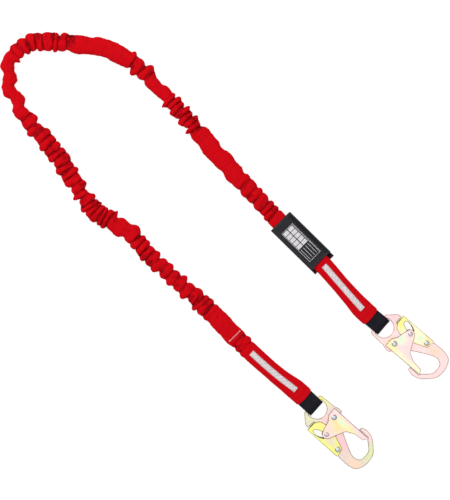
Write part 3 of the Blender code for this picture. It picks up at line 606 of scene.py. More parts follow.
def plated(name, tag, base, patches, edge=(0.085, 0.045, 0.018), rough=0.36):
    """Yellow zinc plate: a base tint, soft coloured clouds at set places, and brown painted edge shade.

    A patch is its centre, its reach along the hook and across it in millimetres, its colour and
    its strength. Its cloud is one minus the distance from the centre over the reach, broken up
    by noise. The edge mark paints brown shade, strongly on the flats and weakly on the cut sides.
    """
    made, tree, shader = new_finish(
        name, metallic=0.82, roughness=rough, specular_ior_level=0.5, coat_weight=0.25,
        coat_roughness=0.18,
    )
    local, place = in_hook(tree, tag)
    wander = add_node(tree, "ShaderNodeTexNoise", {"Vector": place, "Scale": 60.0, "Detail": 2.0})
    drift = add_node(
        tree, "ShaderNodeVectorMath",
        {0: wander.outputs["Color"], 1: (0.012, 0.012, 0.0), 2: local}, operation="MULTIPLY_ADD",
    ).outputs[0]
    drift = add_node(
        tree, "ShaderNodeVectorMath", {0: drift, 1: (0.006, 0.006, 0.0)}, operation="SUBTRACT",
    ).outputs[0]
    tone = rgba(base)
    for x, y, reach_x, reach_y, colour, strength in patches:
        mapping = add_node(
            tree, "ShaderNodeMapping",
            {"Vector": drift, "Location": (x * MM, y * MM, 0),
             "Scale": (reach_x * MM, reach_y * MM, 1.0)}, vector_type="TEXTURE",
        )
        cloud = add_node(
            tree, "ShaderNodeTexGradient", {0: mapping.outputs[0]}, gradient_type="SPHERICAL",
        ).outputs["Fac"]
        factor = ranged(tree, cloud, 0.0, 0.75, 0.0, strength)
        tone = mixed(tree, factor, tone, rgba(colour))
    mottle = noise(tree, place, 240.0, 5.0)
    tone = mixed(tree, ranged(tree, mottle, 0.35, 0.75, 0.0, 0.25), tone, rgba(base, 0.78))
    stretched = add_node(tree, "ShaderNodeMapping", {"Vector": local, "Scale": (120.0, 3200.0, 400.0)})
    brushed = noise(tree, stretched.outputs[0], 1.0, 3.0)
    speck = noise(tree, place, 1400.0, 3.0)
    tone = mixed(tree, ranged(tree, speck, 0.62, 0.75, 0.0, 0.25), tone, rgba(base, 0.45))
    up = hook_axes(tag)[3]
    normal = add_node(tree, "ShaderNodeTexCoord").outputs["Normal"]
    facing = add_node(tree, "ShaderNodeVectorMath", {0: normal, 1: tuple(up)}, operation="DOT_PRODUCT")
    flatness = maths(tree, "ABSOLUTE", facing.outputs["Value"])
    tone = mixed(tree, 1.0, tone, (0.93, 0.91, 0.89, 1.0), "MULTIPLY")
    # painted shade: a brown line along the rims and bends, darkest on the flats
    shade_mark = marked(tree, "edge")
    uneven = ranged(tree, noise(tree, place, 120.0), 0.3, 0.7, 0.5, 1.0)
    edge_shade = maths(tree, "MULTIPLY", maths(tree, "POWER", shade_mark, 1.1), uneven)
    edge_shade = maths(tree, "MULTIPLY", edge_shade, ranged(tree, flatness, 0.05, 0.65, 0.22, 1.0))
    tone = mixed(tree, edge_shade, tone, rgba(edge))
    painted(tree, shader, tone, ranged(tree, brushed, 0.3, 0.7, rough - 0.08, rough + 0.12))
    bumped(tree, shader, maths(tree, "MULTIPLY_ADD", speck, 0.6, brushed), 0.02 * MM, 0.6)
    return made


def bright(name, colour, rough):
    """Bright steel: a little haze, fine grain, and painted shade where a face leans over."""
    made, tree, shader = new_finish(name, metallic=1.0, roughness=rough, specular_ior_level=0.5)
    place = object_place(tree)
    haze = noise(tree, place, 420.0, 4.0)
    tone = mixed(tree, ranged(tree, haze, 0.4, 0.7, 0.0, 1.0), rgba(colour, 1.1), rgba(colour, 0.72))
    # painted shade: faces that lean away from straight up turn dark
    normal = add_node(tree, "ShaderNodeTexCoord").outputs["Normal"]
    upright = add_node(tree, "ShaderNodeSeparateXYZ", {0: normal}).outputs[2]
    shade = ranged(tree, maths(tree, "ABSOLUTE", upright), 0.45, 0.9, 0.75, 0.0)
    tone = mixed(tree, shade, tone, rgba(colour, 0.16))
    painted(tree, shader, tone, ranged(tree, haze, 0.3, 0.75, rough - 0.07, rough + 0.14))
    bumped(tree, shader, noise(tree, place, 2200.0, 2.0), 0.015 * MM, 0.5)
    return made


# ---------------------------------------------------------------- stage


class LANYARD_OT_stage(bpy.types.Operator):
    """Adds the floor, the soft lights and the camera that looks straight down on the lanyard"""

    bl_idname = "lanyard.stage"
    bl_label = "Stage"

    def execute(self, context):
        scene = context.scene
        low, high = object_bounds()
        floor = surface(
            "floor",
            np.array((((-6, -6, 0), (6, -6, 0)), ((-6, 6, 0), (6, 6, 0))), float) - (0, 0, 0.0002),
            self.floor_finish(),
        )
        floor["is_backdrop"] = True

        middle = ((low.x + high.x) / 2, (low.y + high.y) / 2)
        self.lamp("key", (middle[0] - 1.5, middle[1] + 1.5, 1.9), middle, 1.1, 34.0)
        self.lamp("top", (middle[0], middle[1], 3.4), middle, 3.0, 20.0)

        world = bpy.data.worlds.new("studio")
        world.use_nodes = True
        tree = world.node_tree
        background = tree.nodes["Background"]
        background.inputs["Color"].default_value = (0.97, 0.98, 1.0, 1.0)
        sky = add_node(tree, "ShaderNodeTexCoord").outputs["Generated"]
        height = add_node(tree, "ShaderNodeSeparateXYZ", {0: sky}).outputs[2]
        strength = ranged(tree, height, 0.05, 0.75, 0.10, 0.86)
        tree.links.new(strength, background.inputs["Strength"])
        scene.world = world
        scene.view_settings.view_transform = "Standard"

        # the view is 0.72 m wide where it is this high, at the height of the hooks
        away, view_height = 2.6, 0.80
        lens = bpy.data.cameras.new("camera")
        lens.sensor_width = 36.0
        lens.lens = lens.sensor_width * away / view_height
        lens.clip_end = 50.0
        camera = bpy.data.objects.new("camera", lens)
        camera.location = (low.x + 0.3613, low.y + 0.3501, PLANE + away)
        scene.collection.objects.link(camera)
        scene.camera = camera
        return {"FINISHED"}

    @staticmethod
    def lamp(name, place, aim, size, power):
        light = bpy.data.lights.new(name, "AREA")
        light.shape = "DISK"
        light.size = size
        light.energy = power
        made = bpy.data.objects.new(name, light)
        made.location = place
        way = np.array((aim[0], aim[1], 0.0)) - np.array(place)
        made.rotation_euler = Vector(way).to_track_quat("-Z", "Y").to_euler()
        bpy.context.scene.collection.objects.link(made)

    @staticmethod
    def floor_finish():
        made, tree, shader = new_finish(
            "floor_paper", roughness=0.9, specular_ior_level=0.1, emission_strength=0.84,
        )
        shader.inputs["Emission Color"].default_value = (1.0, 1.0, 1.0, 1.0)
        place = object_place(tree)
        grain = noise(tree, place, 30.0, 3.0)
        tone = mixed(tree, grain, rgba((0.26, 0.26, 0.26)), rgba((0.28, 0.28, 0.28)))
        tree.links.new(tone, shader.inputs["Base Color"])
        return made


# ---------------------------------------------------------------- jacket


def end_half_width(from_bar):
    """Half-width of a stitched end against the distance from its bar: a flare, then a waist."""
    at = np.array((0, 22, 40, 60, 90, 112, 126, 236)) * MM
    return np.interp(from_bar, at, np.array((16.4, 16.4, 16.4, 14.9, 14.0, 14.3, 14.5, 14.4)) * MM)


def half_thick(distance):
    """Half-thickness of the jacket: flat at both ends and under the cover, full between them."""
    length = LENGTH / MM
    at = np.array((0, 125, 131, 232, 250, length - 195, length - 170, length)) * MM
    return np.interp(distance, at, np.array((7.0, 7.0, 6.0, 6.0, 7.9, 7.9, 7.0, 7.0)) * MM)


def edge_folds(distance, at, low, high):
    """Count of folds passed, and reach of one edge, at these distances.

    The count grows by one from each crease to the next. The reach is the crease's own at a whole
    count and the crest's half way, and follows half of one minus the cosine between them.
    """
    count = np.interp(distance, at * MM, np.arange(len(at)))
    index = np.minimum(count.astype(int), len(at) - 2)
    share = count - index
    crest = 0.5 - 0.5 * np.cos(TAU * share)
    valley = np.where(share < 0.5, low[index], low[index + 1])
    return count, (valley + (high[index] - valley) * crest) * MM


def gathered(distance):
    """One where the jacket is gathered, and nothing at its stitched ends and under the cover."""
    rise = smoothstep((distance - GATHERED_FROM * MM) / (14 * MM))
    return rise * smoothstep((LAST_CREASE * MM - distance) / (24 * MM))


def jacket_reach(distance):
    """Fold counts and reaches of both edges, with the ends' own widths where it isn't gathered."""
    left_count, left = edge_folds(distance, *FOLDS[:, 0:3].T)
    right_count, right = edge_folds(distance, *FOLDS[:, 3:6].T)
    plain = end_half_width(np.minimum(distance, LENGTH - distance))
    amount = gathered(distance)
    return left_count, right_count, plain + (left - plain) * amount, plain + (right - plain) * amount


def ripples(along, across, seed, waves=6, shortest=5.0, longest=16.0):
    """Small uneven waves: a sum of sines in slanting directions, its sizes falling with length."""
    rng = np.random.RandomState(seed)
    total = np.zeros(np.broadcast(along, across).shape)
    for length in np.linspace(shortest, longest, waves):
        slant, phase, wander = rng.uniform(-2.2, 2.2), rng.uniform(0, TAU), rng.uniform(0, TAU)
        bend = 1.4 * np.sin(along / (3.1 * length * MM) + wander)
        total = total + np.sin(TAU * along / (length * MM) + slant * across + bend + phase) / waves
    return total


def jacket_rings(distance, angle):
    """The outside of the jacket as a grid of rings, with its creases marked for painted shade.

    A ring is a rounded box: a power of the cosine across and a power of the sine upwards. Its
    creases join the matching ones of the two edges. Between creases the height follows half of
    one minus the cosine of the fold count, and each point slides along the jacket by the sine of
    that count, which narrows the creases and fattens the lobes.
    """
    values = settings()
    s, turn = np.meshgrid(distance, angle, indexing="ij")
    left_count, right_count, left, right = jacket_reach(distance)
    amount = gathered(distance)[:, None]
    middle, half = ((left - right) / 2)[:, None], ((left + right) / 2)[:, None]
    thick = half_thick(distance)[:, None]
    cosine, sine = np.cos(turn), np.sin(turn)
    from_bar = np.minimum(s, LENGTH - s)
    round_off = smoothstep((from_bar - 42 * MM) / (18 * MM))
    power = 0.28 + 0.32 * round_off + 0.28 * amount
    u = powered(cosine, power)
    w = powered(sine, power)

    wander = 0.26 * ripples(s, 2.4 * u, SEED + 1, 4, 11, 34) * (1 - u**4)
    count = right_count[:, None] + (left_count - right_count)[:, None] * (1 + u) / 2 + wander
    count = np.clip(count, 0, len(FOLDS) - 1.001)
    index = count.astype(int)
    share = count - index
    crest = 0.5 - 0.5 * np.cos(TAU * share)
    depth = FOLDS[:, 6]
    deep = (depth[index] * (1 - share) + depth[index + 1] * share) * amount
    rng = np.random.RandomState(SEED)
    lean, swell, bias = rng.uniform(-1, 1, (3, len(FOLDS)))
    valley = deep * (1 - crest) * (1 + 0.75 * bias[index] * u)
    fork = np.exp(-(((share - 0.5 - 0.2 * lean[index] * u) / 0.13) ** 2)) * np.abs(swell[index])
    fork *= smoothstep((u * np.sign(bias[index]) + 0.25) / 0.6) * smoothstep(deep * 2 - 0.4)
    valley = np.maximum(valley, 0.75 * fork)
    height = 1 - values.fold_depth * valley
    height *= 1 + 0.07 * swell[index] * crest * amount
    height *= np.clip((14.4 * MM / half) ** 0.35, 0.9, 1.16)

    narrow = np.clip((13.2 * MM - half) / (4 * MM), 0, 1) * amount
    lane = 0.9 * np.sin(s / (21 * MM)) + 0.5 * np.sin(s / (8.3 * MM) + 1)
    groove = np.exp(-(((u - 0.55 * np.sin(lane)) / 0.22) ** 2)) * (sine > 0)
    height -= 0.07 * narrow * groove
    small = ripples(s, 3 * u, SEED + 2) * (0.35 + 0.65 * np.maximum(deep, 0.3))
    height += amount * small * 0.12
    drift = 2.6 * np.sin(s / (31 * MM) + 0.8) + 1.3 * np.sin(s / (12.7 * MM)) + 0.7 * np.sin(s / (5.9 * MM))
    strands = np.zeros_like(u)
    for k, (start, reach, size) in enumerate(((-0.65, 0.20, 1.0), (-0.2, 0.15, 0.8), (0.25, 0.18, 1.0),
                                              (0.62, 0.14, 0.7))):
        line = start + 0.16 * np.sin(drift + 1.9 * k) + 0.06 * np.sin(s / (4.1 * MM) + 2.3 * k)
        fade = 0.55 + 0.45 * np.sin(s / ((17 + 5 * k) * MM) + 2.1 * k)
        strands += size * fade * np.exp(-(((u - line) / reach) ** 2)) * (0.4 + 0.6 * np.abs(sine))
    height -= 0.10 * amount * strands * (1 - 0.45 * deep)
    ends = 1 - amount
    seam = np.exp(-(((np.abs(u * half) - 5.9 * MM) / (1.7 * MM)) ** 2)) * (sine > 0)
    under_strip = strip_share(distance)[:, None]
    pucker = np.sin(TAU * s / (3.3 * MM) + 1.7 * np.sin(s / (9 * MM))) * seam * under_strip
    height += 0.020 * ends * ripples(s, 2 * u, SEED + 3, 4, 9, 30) + 0.030 * pucker
    bulk = 1 + amount * (0.05 * ripples(s, 2.5 * turn, SEED + 4) - 0.05 * narrow * groove)

    across = middle + half * u * bulk
    above = np.maximum(thick * w * height, 0.12 * MM - PLANE)
    pitch_left = np.diff(FOLDS[:, 0], append=FOLDS[-1, 0] + LAST_GAP)
    pitch_right = np.diff(FOLDS[:, 3], append=FOLDS[-1, 3] + LAST_GAP)
    pitch = (pitch_right[index] * (1 - u) + pitch_left[index] * (1 + u)) / 2
    pitch = np.clip(pitch, 4, 17) * MM
    slide = -values.pinch * deep * np.sin(TAU * share) * pitch / TAU
    slide += 1.7 * MM * lean[index] * deep * crest * np.maximum(sine, 0)
    mouth = np.maximum(1 - np.minimum(s, LENGTH - s) / (46 * MM), 0)
    bulge = 2.6 * MM * (1 - np.abs(u) ** 3) - 1.2 * MM * np.abs(u) ** 10
    slide += np.where(s < LENGTH / 2, -1, 1) * bulge * np.minimum(2.2 * mouth, 1) * (mouth > 0)

    points = beside_route(s + slide, across, above, 7 * MM)
    # painted shade: how deep each point lies in a crease, groove, strand or pucker, to darken the cloth
    # there
    crease_shade = np.clip(valley**1.2 + 0.25 * narrow * groove + 0.22 * amount * strands, 0, 1)
    crease_shade = np.clip(crease_shade + 0.35 * np.abs(np.minimum(pucker, 0)), 0, 1)
    return points, crease_shade


def strip_share(distance):
    """One along the reflective strips, and nothing elsewhere."""
    from_bar = np.minimum(distance, LENGTH - distance) / MM
    return smoothstep((from_bar - 38) / 5) * smoothstep((131 - from_bar) / 5)


def inner_rings(distance, angle):
    """The inside of the jacket: a plain rounded box, well inside the folds."""
    length = LENGTH / MM
    left_count, right_count, left, right = jacket_reach(distance)
    from_bar = np.minimum(distance, LENGTH - distance)
    amount = gathered(distance)
    snug = np.interp(from_bar, np.array((0, 41, 60)) * MM, (0.932, 0.932, 0.86))
    half = (left + right) / 2 * (snug + (0.70 - snug) * amount)
    at = np.array((0, 123, 130, 232, 244, length - 180, length - 150, length - 110, length)) * MM
    thick = np.interp(distance, at, np.array((5.75, 5.75, 4.8, 4.8, 3.3, 3.3, 4.6, 5.75, 5.75)) * MM)
    cosine, sine = np.cos(angle)[None], np.sin(angle)[None]
    power = 0.12 + 0.38 * smoothstep((from_bar - 40 * MM) / (30 * MM))[:, None]
    across = ((left - right) / 2)[:, None] + half[:, None] * powered(cosine, power)
    above = thick[:, None] * powered(sine, power)
    s = np.broadcast_to(distance[:, None], across.shape)
    return beside_route(s, across, above, 7 * MM)


class LANYARD_OT_jacket(bpy.types.Operator):
    """Builds the gathered jacket, open at both ends, with its hems"""

    bl_idname = "lanyard.jacket"
    bl_label = "Gathered jacket"

    def execute(self, context):
        values = settings()
        start, end = 20 * MM, LENGTH - 20 * MM
        angle = np.linspace(0, TAU, values.sides, endpoint=False)
        outside = np.linspace(start, end, int((end - start) / values.ring_step))
        points, crease_shade = jacket_rings(outside, angle)
        inside = np.linspace(end, start, 370)
        inner = inner_rings(inside, angle)
        lips = []
        for near, far in ((points[-1], inner[0]), (inner[-1], points[0])):
            lips.append(0.78 * near + 0.22 * far)
            lips.append(0.22 * near + 0.78 * far)
        rows = np.concatenate((points, lips[:2], inner, lips[2:]))
        step = np.linalg.norm(np.diff(rows, axis=0), axis=2).mean(1)
        run = np.concatenate(((0,), np.cumsum(step), (step.sum() + 1 * MM,)))
        uv = grid_uv(run, np.append(angle, TAU) * 10.5 * MM)
        # the crease mark carries painted shade into the jacket's creases
        marks = np.zeros(rows.shape[:2])
        marks[: len(points)] = crease_shade
        finish = woven("jacket_cloth", values.red, values.weave, crease="crease", shade=0.22)
        jacket = surface(
            "gathered_jacket", rows, finish, around=True, along=True, uv=uv,
            marks={"crease": marks},
        )
        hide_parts("outer_jacket")
        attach(jacket, "root")
        path = points.mean(1)[::4]
        path = np.vstack((path, points.mean(1)[-1:]))
        path[:, 2] = PLANE
        jacket["route_points"] = path.ravel().tolist()
        return {"FINISHED"}


def tree_over(piece):
    """A search tree over a piece, for laying strips, stitches and ink on it."""
    bm = bmesh.new()
    bm.from_mesh(bpy.data.objects[piece].data)
    made = BVHTree.FromBMesh(bm)
    bm.free()
    return made


def tops(tree, points, above=0.0):
    """The same points, moved to the top of what a tree holds under them."""
    flat = points.reshape(-1, 3)
    lifted = []
    for x, y, z in flat:
        hit = tree.ray_cast((x, y, 0.1), (0, 0, -1))[0]
        lifted.append(hit.z if hit else z)
    moved = flat.copy()
    moved[:, 2] = np.array(lifted) + above
    return moved.reshape(points.shape)


class LANYARD_OT_core(bpy.types.Operator):
    """Builds the energy absorbing core and the two elastic bands inside the jacket"""

    bl_idname = "lanyard.core"
    bl_label = "Core and elastics"

    def execute(self, context):
        core = woven("core_yarn", (0.72, 0.71, 0.66), 1.2 * MM)
        elastic = woven("elastic_cover", (0.02, 0.02, 0.02), 0.7 * MM)
        pieces = (
            ("core_band", "shock_core", 24, 4.2, -1.5, 1.5, core, "core_yarn"),
            ("elastic_top", "elastic_band_top", 60, 3.0, 1.8, 2.8, elastic, "elastic"),
            ("elastic_under", "elastic_band_bottom", 60, 3.0, -2.8, -1.8, elastic, "elastic"),
        )
        for name, node, setback, half, low, high, finish, slot in pieces:
            distance = np.arange(setback * MM, LENGTH - setback * MM, 4 * MM)
            left, right = jacket_reach(distance)[2:]
            ring = box_ring(half * MM, low * MM, high * MM)
            across = ((left - right) / 2)[:, None] + ring[:, 0]
            above = np.broadcast_to(ring[:, 1], across.shape)
            s = np.broadcast_to(distance[:, None], across.shape)
            points = beside_route(s, across, above, 7 * MM)
            uv = grid_uv(distance, np.append(ring[:, 0], ring[0, 0]))
            piece = surface(name, points, finish, around=True, uv=uv)
            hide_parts(node)
            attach(piece, "root")
        return {"FINISHED"}


def box_ring(half, low, high, columns=7, soft=0.3):
    """A flat ring section with softened corners, as (across, above) pairs, from its top left."""
    inset = soft * (high - low)
    across = np.linspace(half - inset, inset - half, columns)
    top = np.stack((across, np.full(columns, high)), axis=1)
    bottom = np.stack((across[::-1], np.full(columns, low)), axis=1)
    left = np.array(((half, low + inset), (half, high - inset)))
    right = np.array(((-half, high - inset), (-half, low + inset)))
    return np.vstack((left, top, right, bottom))


# ---------------------------------------------------------------- loops and wear pads


def loop_path(radius, flat, leg, closes=14.0):
    """One face of a loop round the bar, as (along, above) in metres.

    It runs along the top leg, opens with a smooth step from the flat height to the radius, goes
    half way round the bar, and comes back as the mirror image underneath.
    """
    x = np.concatenate((np.arange(leg, closes, -1.5), np.linspace(closes, 0, 15)[:-1]))
    share = np.maximum(0, 1 - x / closes)
    upper = np.stack((x, flat + (radius - flat) * smoothstep(share)), axis=1)
    angle = np.linspace(0, math.pi, 25)
    bend = np.stack((-radius * np.sin(angle), radius * np.cos(angle)), axis=1)
    return np.vstack((upper, bend, (upper * (1, -1))[::-1])) * MM


class LANYARD_OT_loops(bpy.types.Operator):
    """Builds the webbing loop and the wear pad round the bar of each hook"""

    bl_idname = "lanyard.loops"
    bl_label = "Webbing loops and wear pads"

    def execute(self, context):
        values = settings()
        red = webbed("loop_webbing_cloth", values.red)
        black = webbed("wear_pad_cloth", values.black)
        kinds = (
            ("loop_webbing_", "webbing_loop_", 4.741, 1.8, 1.8, 57.0, 12.5, red, "red_webbing"),
            ("wear_pad_", "webbing_pad_", 6.841, 3.9, 1.4, 38.0, 14.8, black, "black_webbing"),
        )
        for node, name, radius, flat, thick, leg, half, finish, slot in kinds:
            inner = loop_path(radius, flat, leg)
            outer = loop_path(radius + thick, flat + thick, leg)
            run = run_along(outer)
            ring = box_ring(half * MM, 0, 1, 13, 0.0)
            ring[:, 1] = np.clip(ring[:, 1], 0, 1)
            ring[[1, 16], 1], ring[[0, 17], 1] = 0.72, 0.28
            edge = np.abs(ring[:, 0]) > (half - 0.5) * MM
            ring[edge & ((ring[:, 1] == 1) | (ring[:, 1] == 0)), 0] *= 1 - 0.35 / half
            rise = ring[:, 1]
            for tag in "ab":
                wave = ripples(run[:, None], ring[:, 0] / (6 * MM), SEED + ord(tag), 5, 7, 24)
                lift = np.where(ring[:, 1] == 1, 0.16, 0.0) * MM * wave
                along = inner[:, None, 0] + (outer - inner)[:, None, 0] * rise
                above = inner[:, None, 1] + (outer - inner)[:, None, 1] * rise
                way = unit(outer - inner)
                along, above = along + lift * way[:, None, 0], above + lift * way[:, None, 1]
                across = np.broadcast_to(ring[:, 0], along.shape)
                s = along if tag == "a" else LENGTH - along
                points = beside_route(s, across, above)
                uv = grid_uv(run, np.append(ring[:, 0], ring[0, 0]))
                piece = surface(name + tag, points, finish, around=True, uv=uv)
                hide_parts(node + tag)
                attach(piece, "root")
        return {"FINISHED"}


# ---------------------------------------------------------------- strips and stitches


class LANYARD_OT_strips(bpy.types.Operator):
    """Builds the puckered reflective strips and the seams that hold them"""

    bl_idname = "lanyard.strips"
    bl_label = "Reflective strips"

    def execute(self, context):
        values = settings()
        finish = reflective("strip_silver", values.silver)
        thread = threads("strip_thread", (0.55, 0.53, 0.53))
        tree = tree_over("gathered_jacket")
        for tag in "ab":
            from_bar = np.linspace(STRIP_FROM * MM, STRIP_TO * MM, 220)
            s = from_bar if tag == "a" else LENGTH - from_bar
            ring = box_ring(STRIP_HALF * MM, 0.0, 0.6 * MM, 11, 0.35)
            phase = TAU * from_bar / (STRIP_STITCH * MM) + 1.3 * np.sin(from_bar / (7 * MM))
            share = np.abs(ring[:, 0]) / (STRIP_HALF * MM)
            pucker = 0.5 + 0.5 * np.sin(phase)[:, None] * share**1.5
            pucker = pucker + 0.3 * ripples(from_bar[:, None], ring[:, 0] / MM, SEED + 9, 4, 3, 9)
            width = 1 + 0.045 * np.sin(phase + 0.8)[:, None] * share**4
            across = ring[:, 0] * width
            base = beside_route(np.broadcast_to(s[:, None], across.shape), across, 0 * across)
            laid = tops(tree, base, 0.12 * MM)
            laid[..., 2] = np.maximum(laid[..., 2], PLANE + 6.9 * MM)
            lift = np.where(ring[:, 1] > 0.3 * MM, 0.55, 0.12) * MM * pucker
            laid[..., 2] += ring[:, 1] * 0.8 + np.maximum(lift, 0)
            uv = grid_uv(from_bar, np.append(ring[:, 0], ring[0, 0]))
            # painted shade: darker in the valleys between the puckers
            shade_mark = np.clip((0.75 - pucker) * 1.6, 0, 1) * np.ones_like(across)
            strip = surface(
                "silver_strip_" + tag, laid, finish, around=True, uv=uv, marks={"crease": shade_mark},
            )
            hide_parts("reflective_strip_" + tag)
            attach(strip, "root")

            at = np.arange(39 * MM, 129.5 * MM, STRIP_STITCH * MM)
            at = at if tag == "a" else LENGTH - at
            both = []
            for side in (-4.1 * MM, 4.1 * MM):
                ends = [
                    beside_route(at + step * MM, np.full(len(at), side + drift * MM), 8.05 * MM)
                    for step, drift in ((-0.75, -0.25), (0.75, 0.25))
                ]
                both.append(ends)
            starts = np.vstack((both[0][0], both[1][0]))
            stops = np.vstack((both[0][1], both[1][1]))
            ups = np.broadcast_to((0.0, 0.0, 1.0), starts.shape)
            seam = stitches("strip_seam_" + tag, starts, stops, ups, thread, 0.17 * MM, 0.2 * MM)
            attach(seam, "root")
        return {"FINISHED"}


class LANYARD_OT_stop_stitch(bpy.types.Operator):
    """Builds the zigzag bar of thread that stops the elastic, and the seams of both hems"""

    bl_idname = "lanyard.stop_stitch"
    bl_label = "Stop stitch and hems"

    def execute(self, context):
        values = settings()
        tree = tree_over("gathered_jacket")
        share = np.linspace(0, 1, 53)
        across = (share - 0.5) * 24.4 * MM
        swing = 0.75 * MM * np.where(np.arange(53) % 2, 1, -1)
        base = beside_route(LENGTH - 168 * MM + swing, across, 0 * across)
        line = tops(tree, base, 0.22 * MM)
        bar = tube("stop_thread", line, 0.42 * MM, threads("stop_thread_white", values.thread))
        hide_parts("stop_stitch")
        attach(bar, "root")

        red = threads("hem_thread_red", [0.8 * channel for channel in values.red])
        starts, stops = [], []
        for from_bar in (24.5, 33.5):
            for end in "ab":
                step = np.arange(-13.2, 13.3, 2.4) * MM
                for shift, held in ((-0.8, starts), (0.8, stops)):
                    curve = 2.2 * (step / (14 * MM)) ** 2
                    away = (from_bar + curve - 2.4) * MM
                    s = away if end == "a" else LENGTH - away
                    base = beside_route(s, step + shift * MM, 0 * step)
                    held.append(tops(tree, base, 0.02 * MM))
        starts, stops = np.vstack(starts), np.vstack(stops)
        ups = np.broadcast_to((0.0, 0.0, 1.0), starts.shape)
        hem = stitches("hem_seams", starts, stops, ups, red)
        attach(hem, "root")
        return {"FINISHED"}


# ---------------------------------------------------------------- label cover


def cover_axes():
    """Middle of the cover on the table, the way along it to hook A, and the way to its fold."""
    point, way = on_route(COVER_MIDDLE * MM)
    along = -way
    return np.array((*point, 0.0)), np.array((*along, 0.0)), np.array((-along[1], along[0], 0.0))


BINDING_LINE = ((21.04, 5.46), (23.04, 6.5), (23.95, 8.09), (23.09, 9.67), (21.09, 10.88))
BACK_LINE = ((-19.3, 6.09), (-16.3, 5.59), (-15.0, 2.9), (-12.6, 1.1), (13.8, 1.1), (17.0, 2.7),
             (19.8, 5.89), (22.8, 7.44))
FLAP_LINE = ((-19.3, 9.39), (-16.7, 9.89), (-15.7, 13.04), (-12.8, 15.94), (13.2, 15.94),
             (16.2, 13.34), (19.9, 10.49), (22.8, 8.74))


def soft_line(corners, step=0.7, blur=2):
    """A line through corners, cut into even steps and then smoothed with its ends held."""
    corners = np.array(corners, float)
    run = run_along(corners)
    at = np.linspace(0, run[-1], int(run[-1] / step))
    line = np.stack([np.interp(at, run, corners[:, k]) for k in (0, 1)], axis=1)
    for _ in range(blur):
        line[1:-1] = (line[:-2] + 2 * line[1:-1] + line[2:]) / 4
    return line


def drawn_in(most, across):
    """How far an end of the flap is drawn in, most at its middle, from millimetres across it."""
    return most * (1 - np.clip((across - 1) / 20, -1, 1) ** 2)


def cover_sheet(name, corners, low, high, outer, finish, draw_in=0.0, seed=0):
    """A sheet bent round the jacket: a soft line in section, pushed along the cover.

    Each ring of the grid goes out along the outer face of the line and back along its inner one,
    and the outer face is raised along the hems at the ends and at the open edge.
    """
    line = soft_line(corners)
    way = unit(np.gradient(line, axis=0))
    normal = np.stack((-way[:, 1], way[:, 0]), axis=1) * outer
    run = run_along(line)
    along = np.concatenate((
        (low, low + 0.25), np.linspace(low + 0.8, low + 5.2, 9), np.linspace(low + 6, high - 6, 60),
        np.linspace(high - 5.2, high - 0.8, 9), (high - 0.25, high),
    ))
    hem_end = np.minimum(along - low, high - along)[:, None]
    ridge = np.maximum(smoothstep((4.6 - hem_end) / 0.6), smoothstep((4.4 - run) / 0.6)[None])
    rounding = np.sqrt(np.clip(hem_end / 0.8, 0.12, 1))
    wave = ripples(along[:, None] * MM, run / 9, SEED + seed, 5, 14, 60)
    calm = smoothstep(run / 6) * smoothstep((run[-1] - run) / 6)
    outside = 0.5 * rounding + 0.28 * ridge * rounding + 0.14 * (wave + 1) * calm * (1 - ridge)
    inside = np.broadcast_to(-0.5 * rounding, outside.shape)
    faces = []
    for offset in (outside, inside):
        faces.append(line[None] + offset[..., None] * normal[None])
    section = np.concatenate((faces[0], faces[1][:, ::-1]), axis=1)
    pull = drawn_in(draw_in, line[:, 0])
    pull = np.concatenate((pull, pull[::-1]))[None] * smoothstep((along - high + 24) / 24)[:, None]
    centre, ahead, aside = cover_axes()
    lengths = (along[:, None] - pull)[..., None] * MM
    points = centre + lengths * ahead + section[..., :1] * MM * aside
    points[..., 2] += section[..., 1] * MM
    around = np.concatenate((run, run[::-1], run[:1])) * MM
    made = surface(
        name, points, finish, around=True, uv=grid_uv(along * MM, around),
        marks={"hem": np.concatenate((ridge, ridge[:, ::-1]), axis=1)},
    )
    return made, run[-1]


def cover_cloth(name, colour):
    """Coated black cloth: a tight weave, painted shade on the fold side, and hems a little lighter."""
    made, tree, shader = new_finish(
        name, roughness=0.6, specular_ior_level=0.16, sheen_weight=0.05, sheen_roughness=0.5,
    )
    from_edge, _, weave = cloth_lines(tree, 0.62 * MM)
    place = object_place(tree)
    fine = noise(tree, place, 1300.0, 2.0)
    blotch = noise(tree, place, 70.0, 4.0)
    level = ranged(tree, weave, -0.8, 0.8, 0.0, 1.0)
    tone = mixed(tree, level, rgba(colour, 0.62), rgba(colour, 1.30))
    tone = mixed(tree, ranged(tree, fine, 0.45, 0.75, 0.0, 0.55), tone, rgba(colour, 2.1))
    tone = mixed(tree, ranged(tree, blotch, 0.35, 0.7, 0.0, 0.5), tone, rgba(colour, 0.7))
    # painted shade: the fold side, where the cloth turns down, is darker
    fold_side_shade = ranged(tree, from_edge, 0.0385, 0.0395, 0.0, 0.75)
    tone = mixed(tree, fold_side_shade, tone, rgba((0.0035, 0.0035, 0.0075)))
    # the hem mark makes the raised hems a little lighter
    hem = marked(tree, "hem")
    tone = mixed(tree, maths(tree, "MULTIPLY", hem, 0.35), tone, rgba(colour, 1.7))
    painted(tree, shader, tone, ranged(tree, fine, 0.3, 0.7, 0.52, 0.72))
    bumped(tree, shader, maths(tree, "MULTIPLY_ADD", fine, 0.4, level), 0.1 * MM)
    return made


def print_patches():
    """The blank print on the flap, as (x low, x high, y low, y high) in millimetres.

    A frame with a double line on the fold side, two rows of blank boxes and four ruled lines.
    """
    x0, x1, y0, y1 = -34.0, 29.0, -11.4, 11.8
    patches = [(x0, x1, y0, y0 + 0.5), (x0, x0 + 0.5, y0, y1), (x1 - 0.5, x1, y0, y1)]
    patches += [(x0, x1, y1 - 0.5, y1), (x0 - 0.5, x1, y1 + 0.9, y1 + 1.3)]
    for row in (-10.0, 0.7):
        for column in range(5):
            left = x0 + 1.6 + 7.3 * column
            patches.append((left, left + 6.3, row, row + 9.2))
    for line in (-8.0, -3.0, 2.0, 7.0):
        patches.append((5.4, 26.4, line, line + 0.6))
    return patches


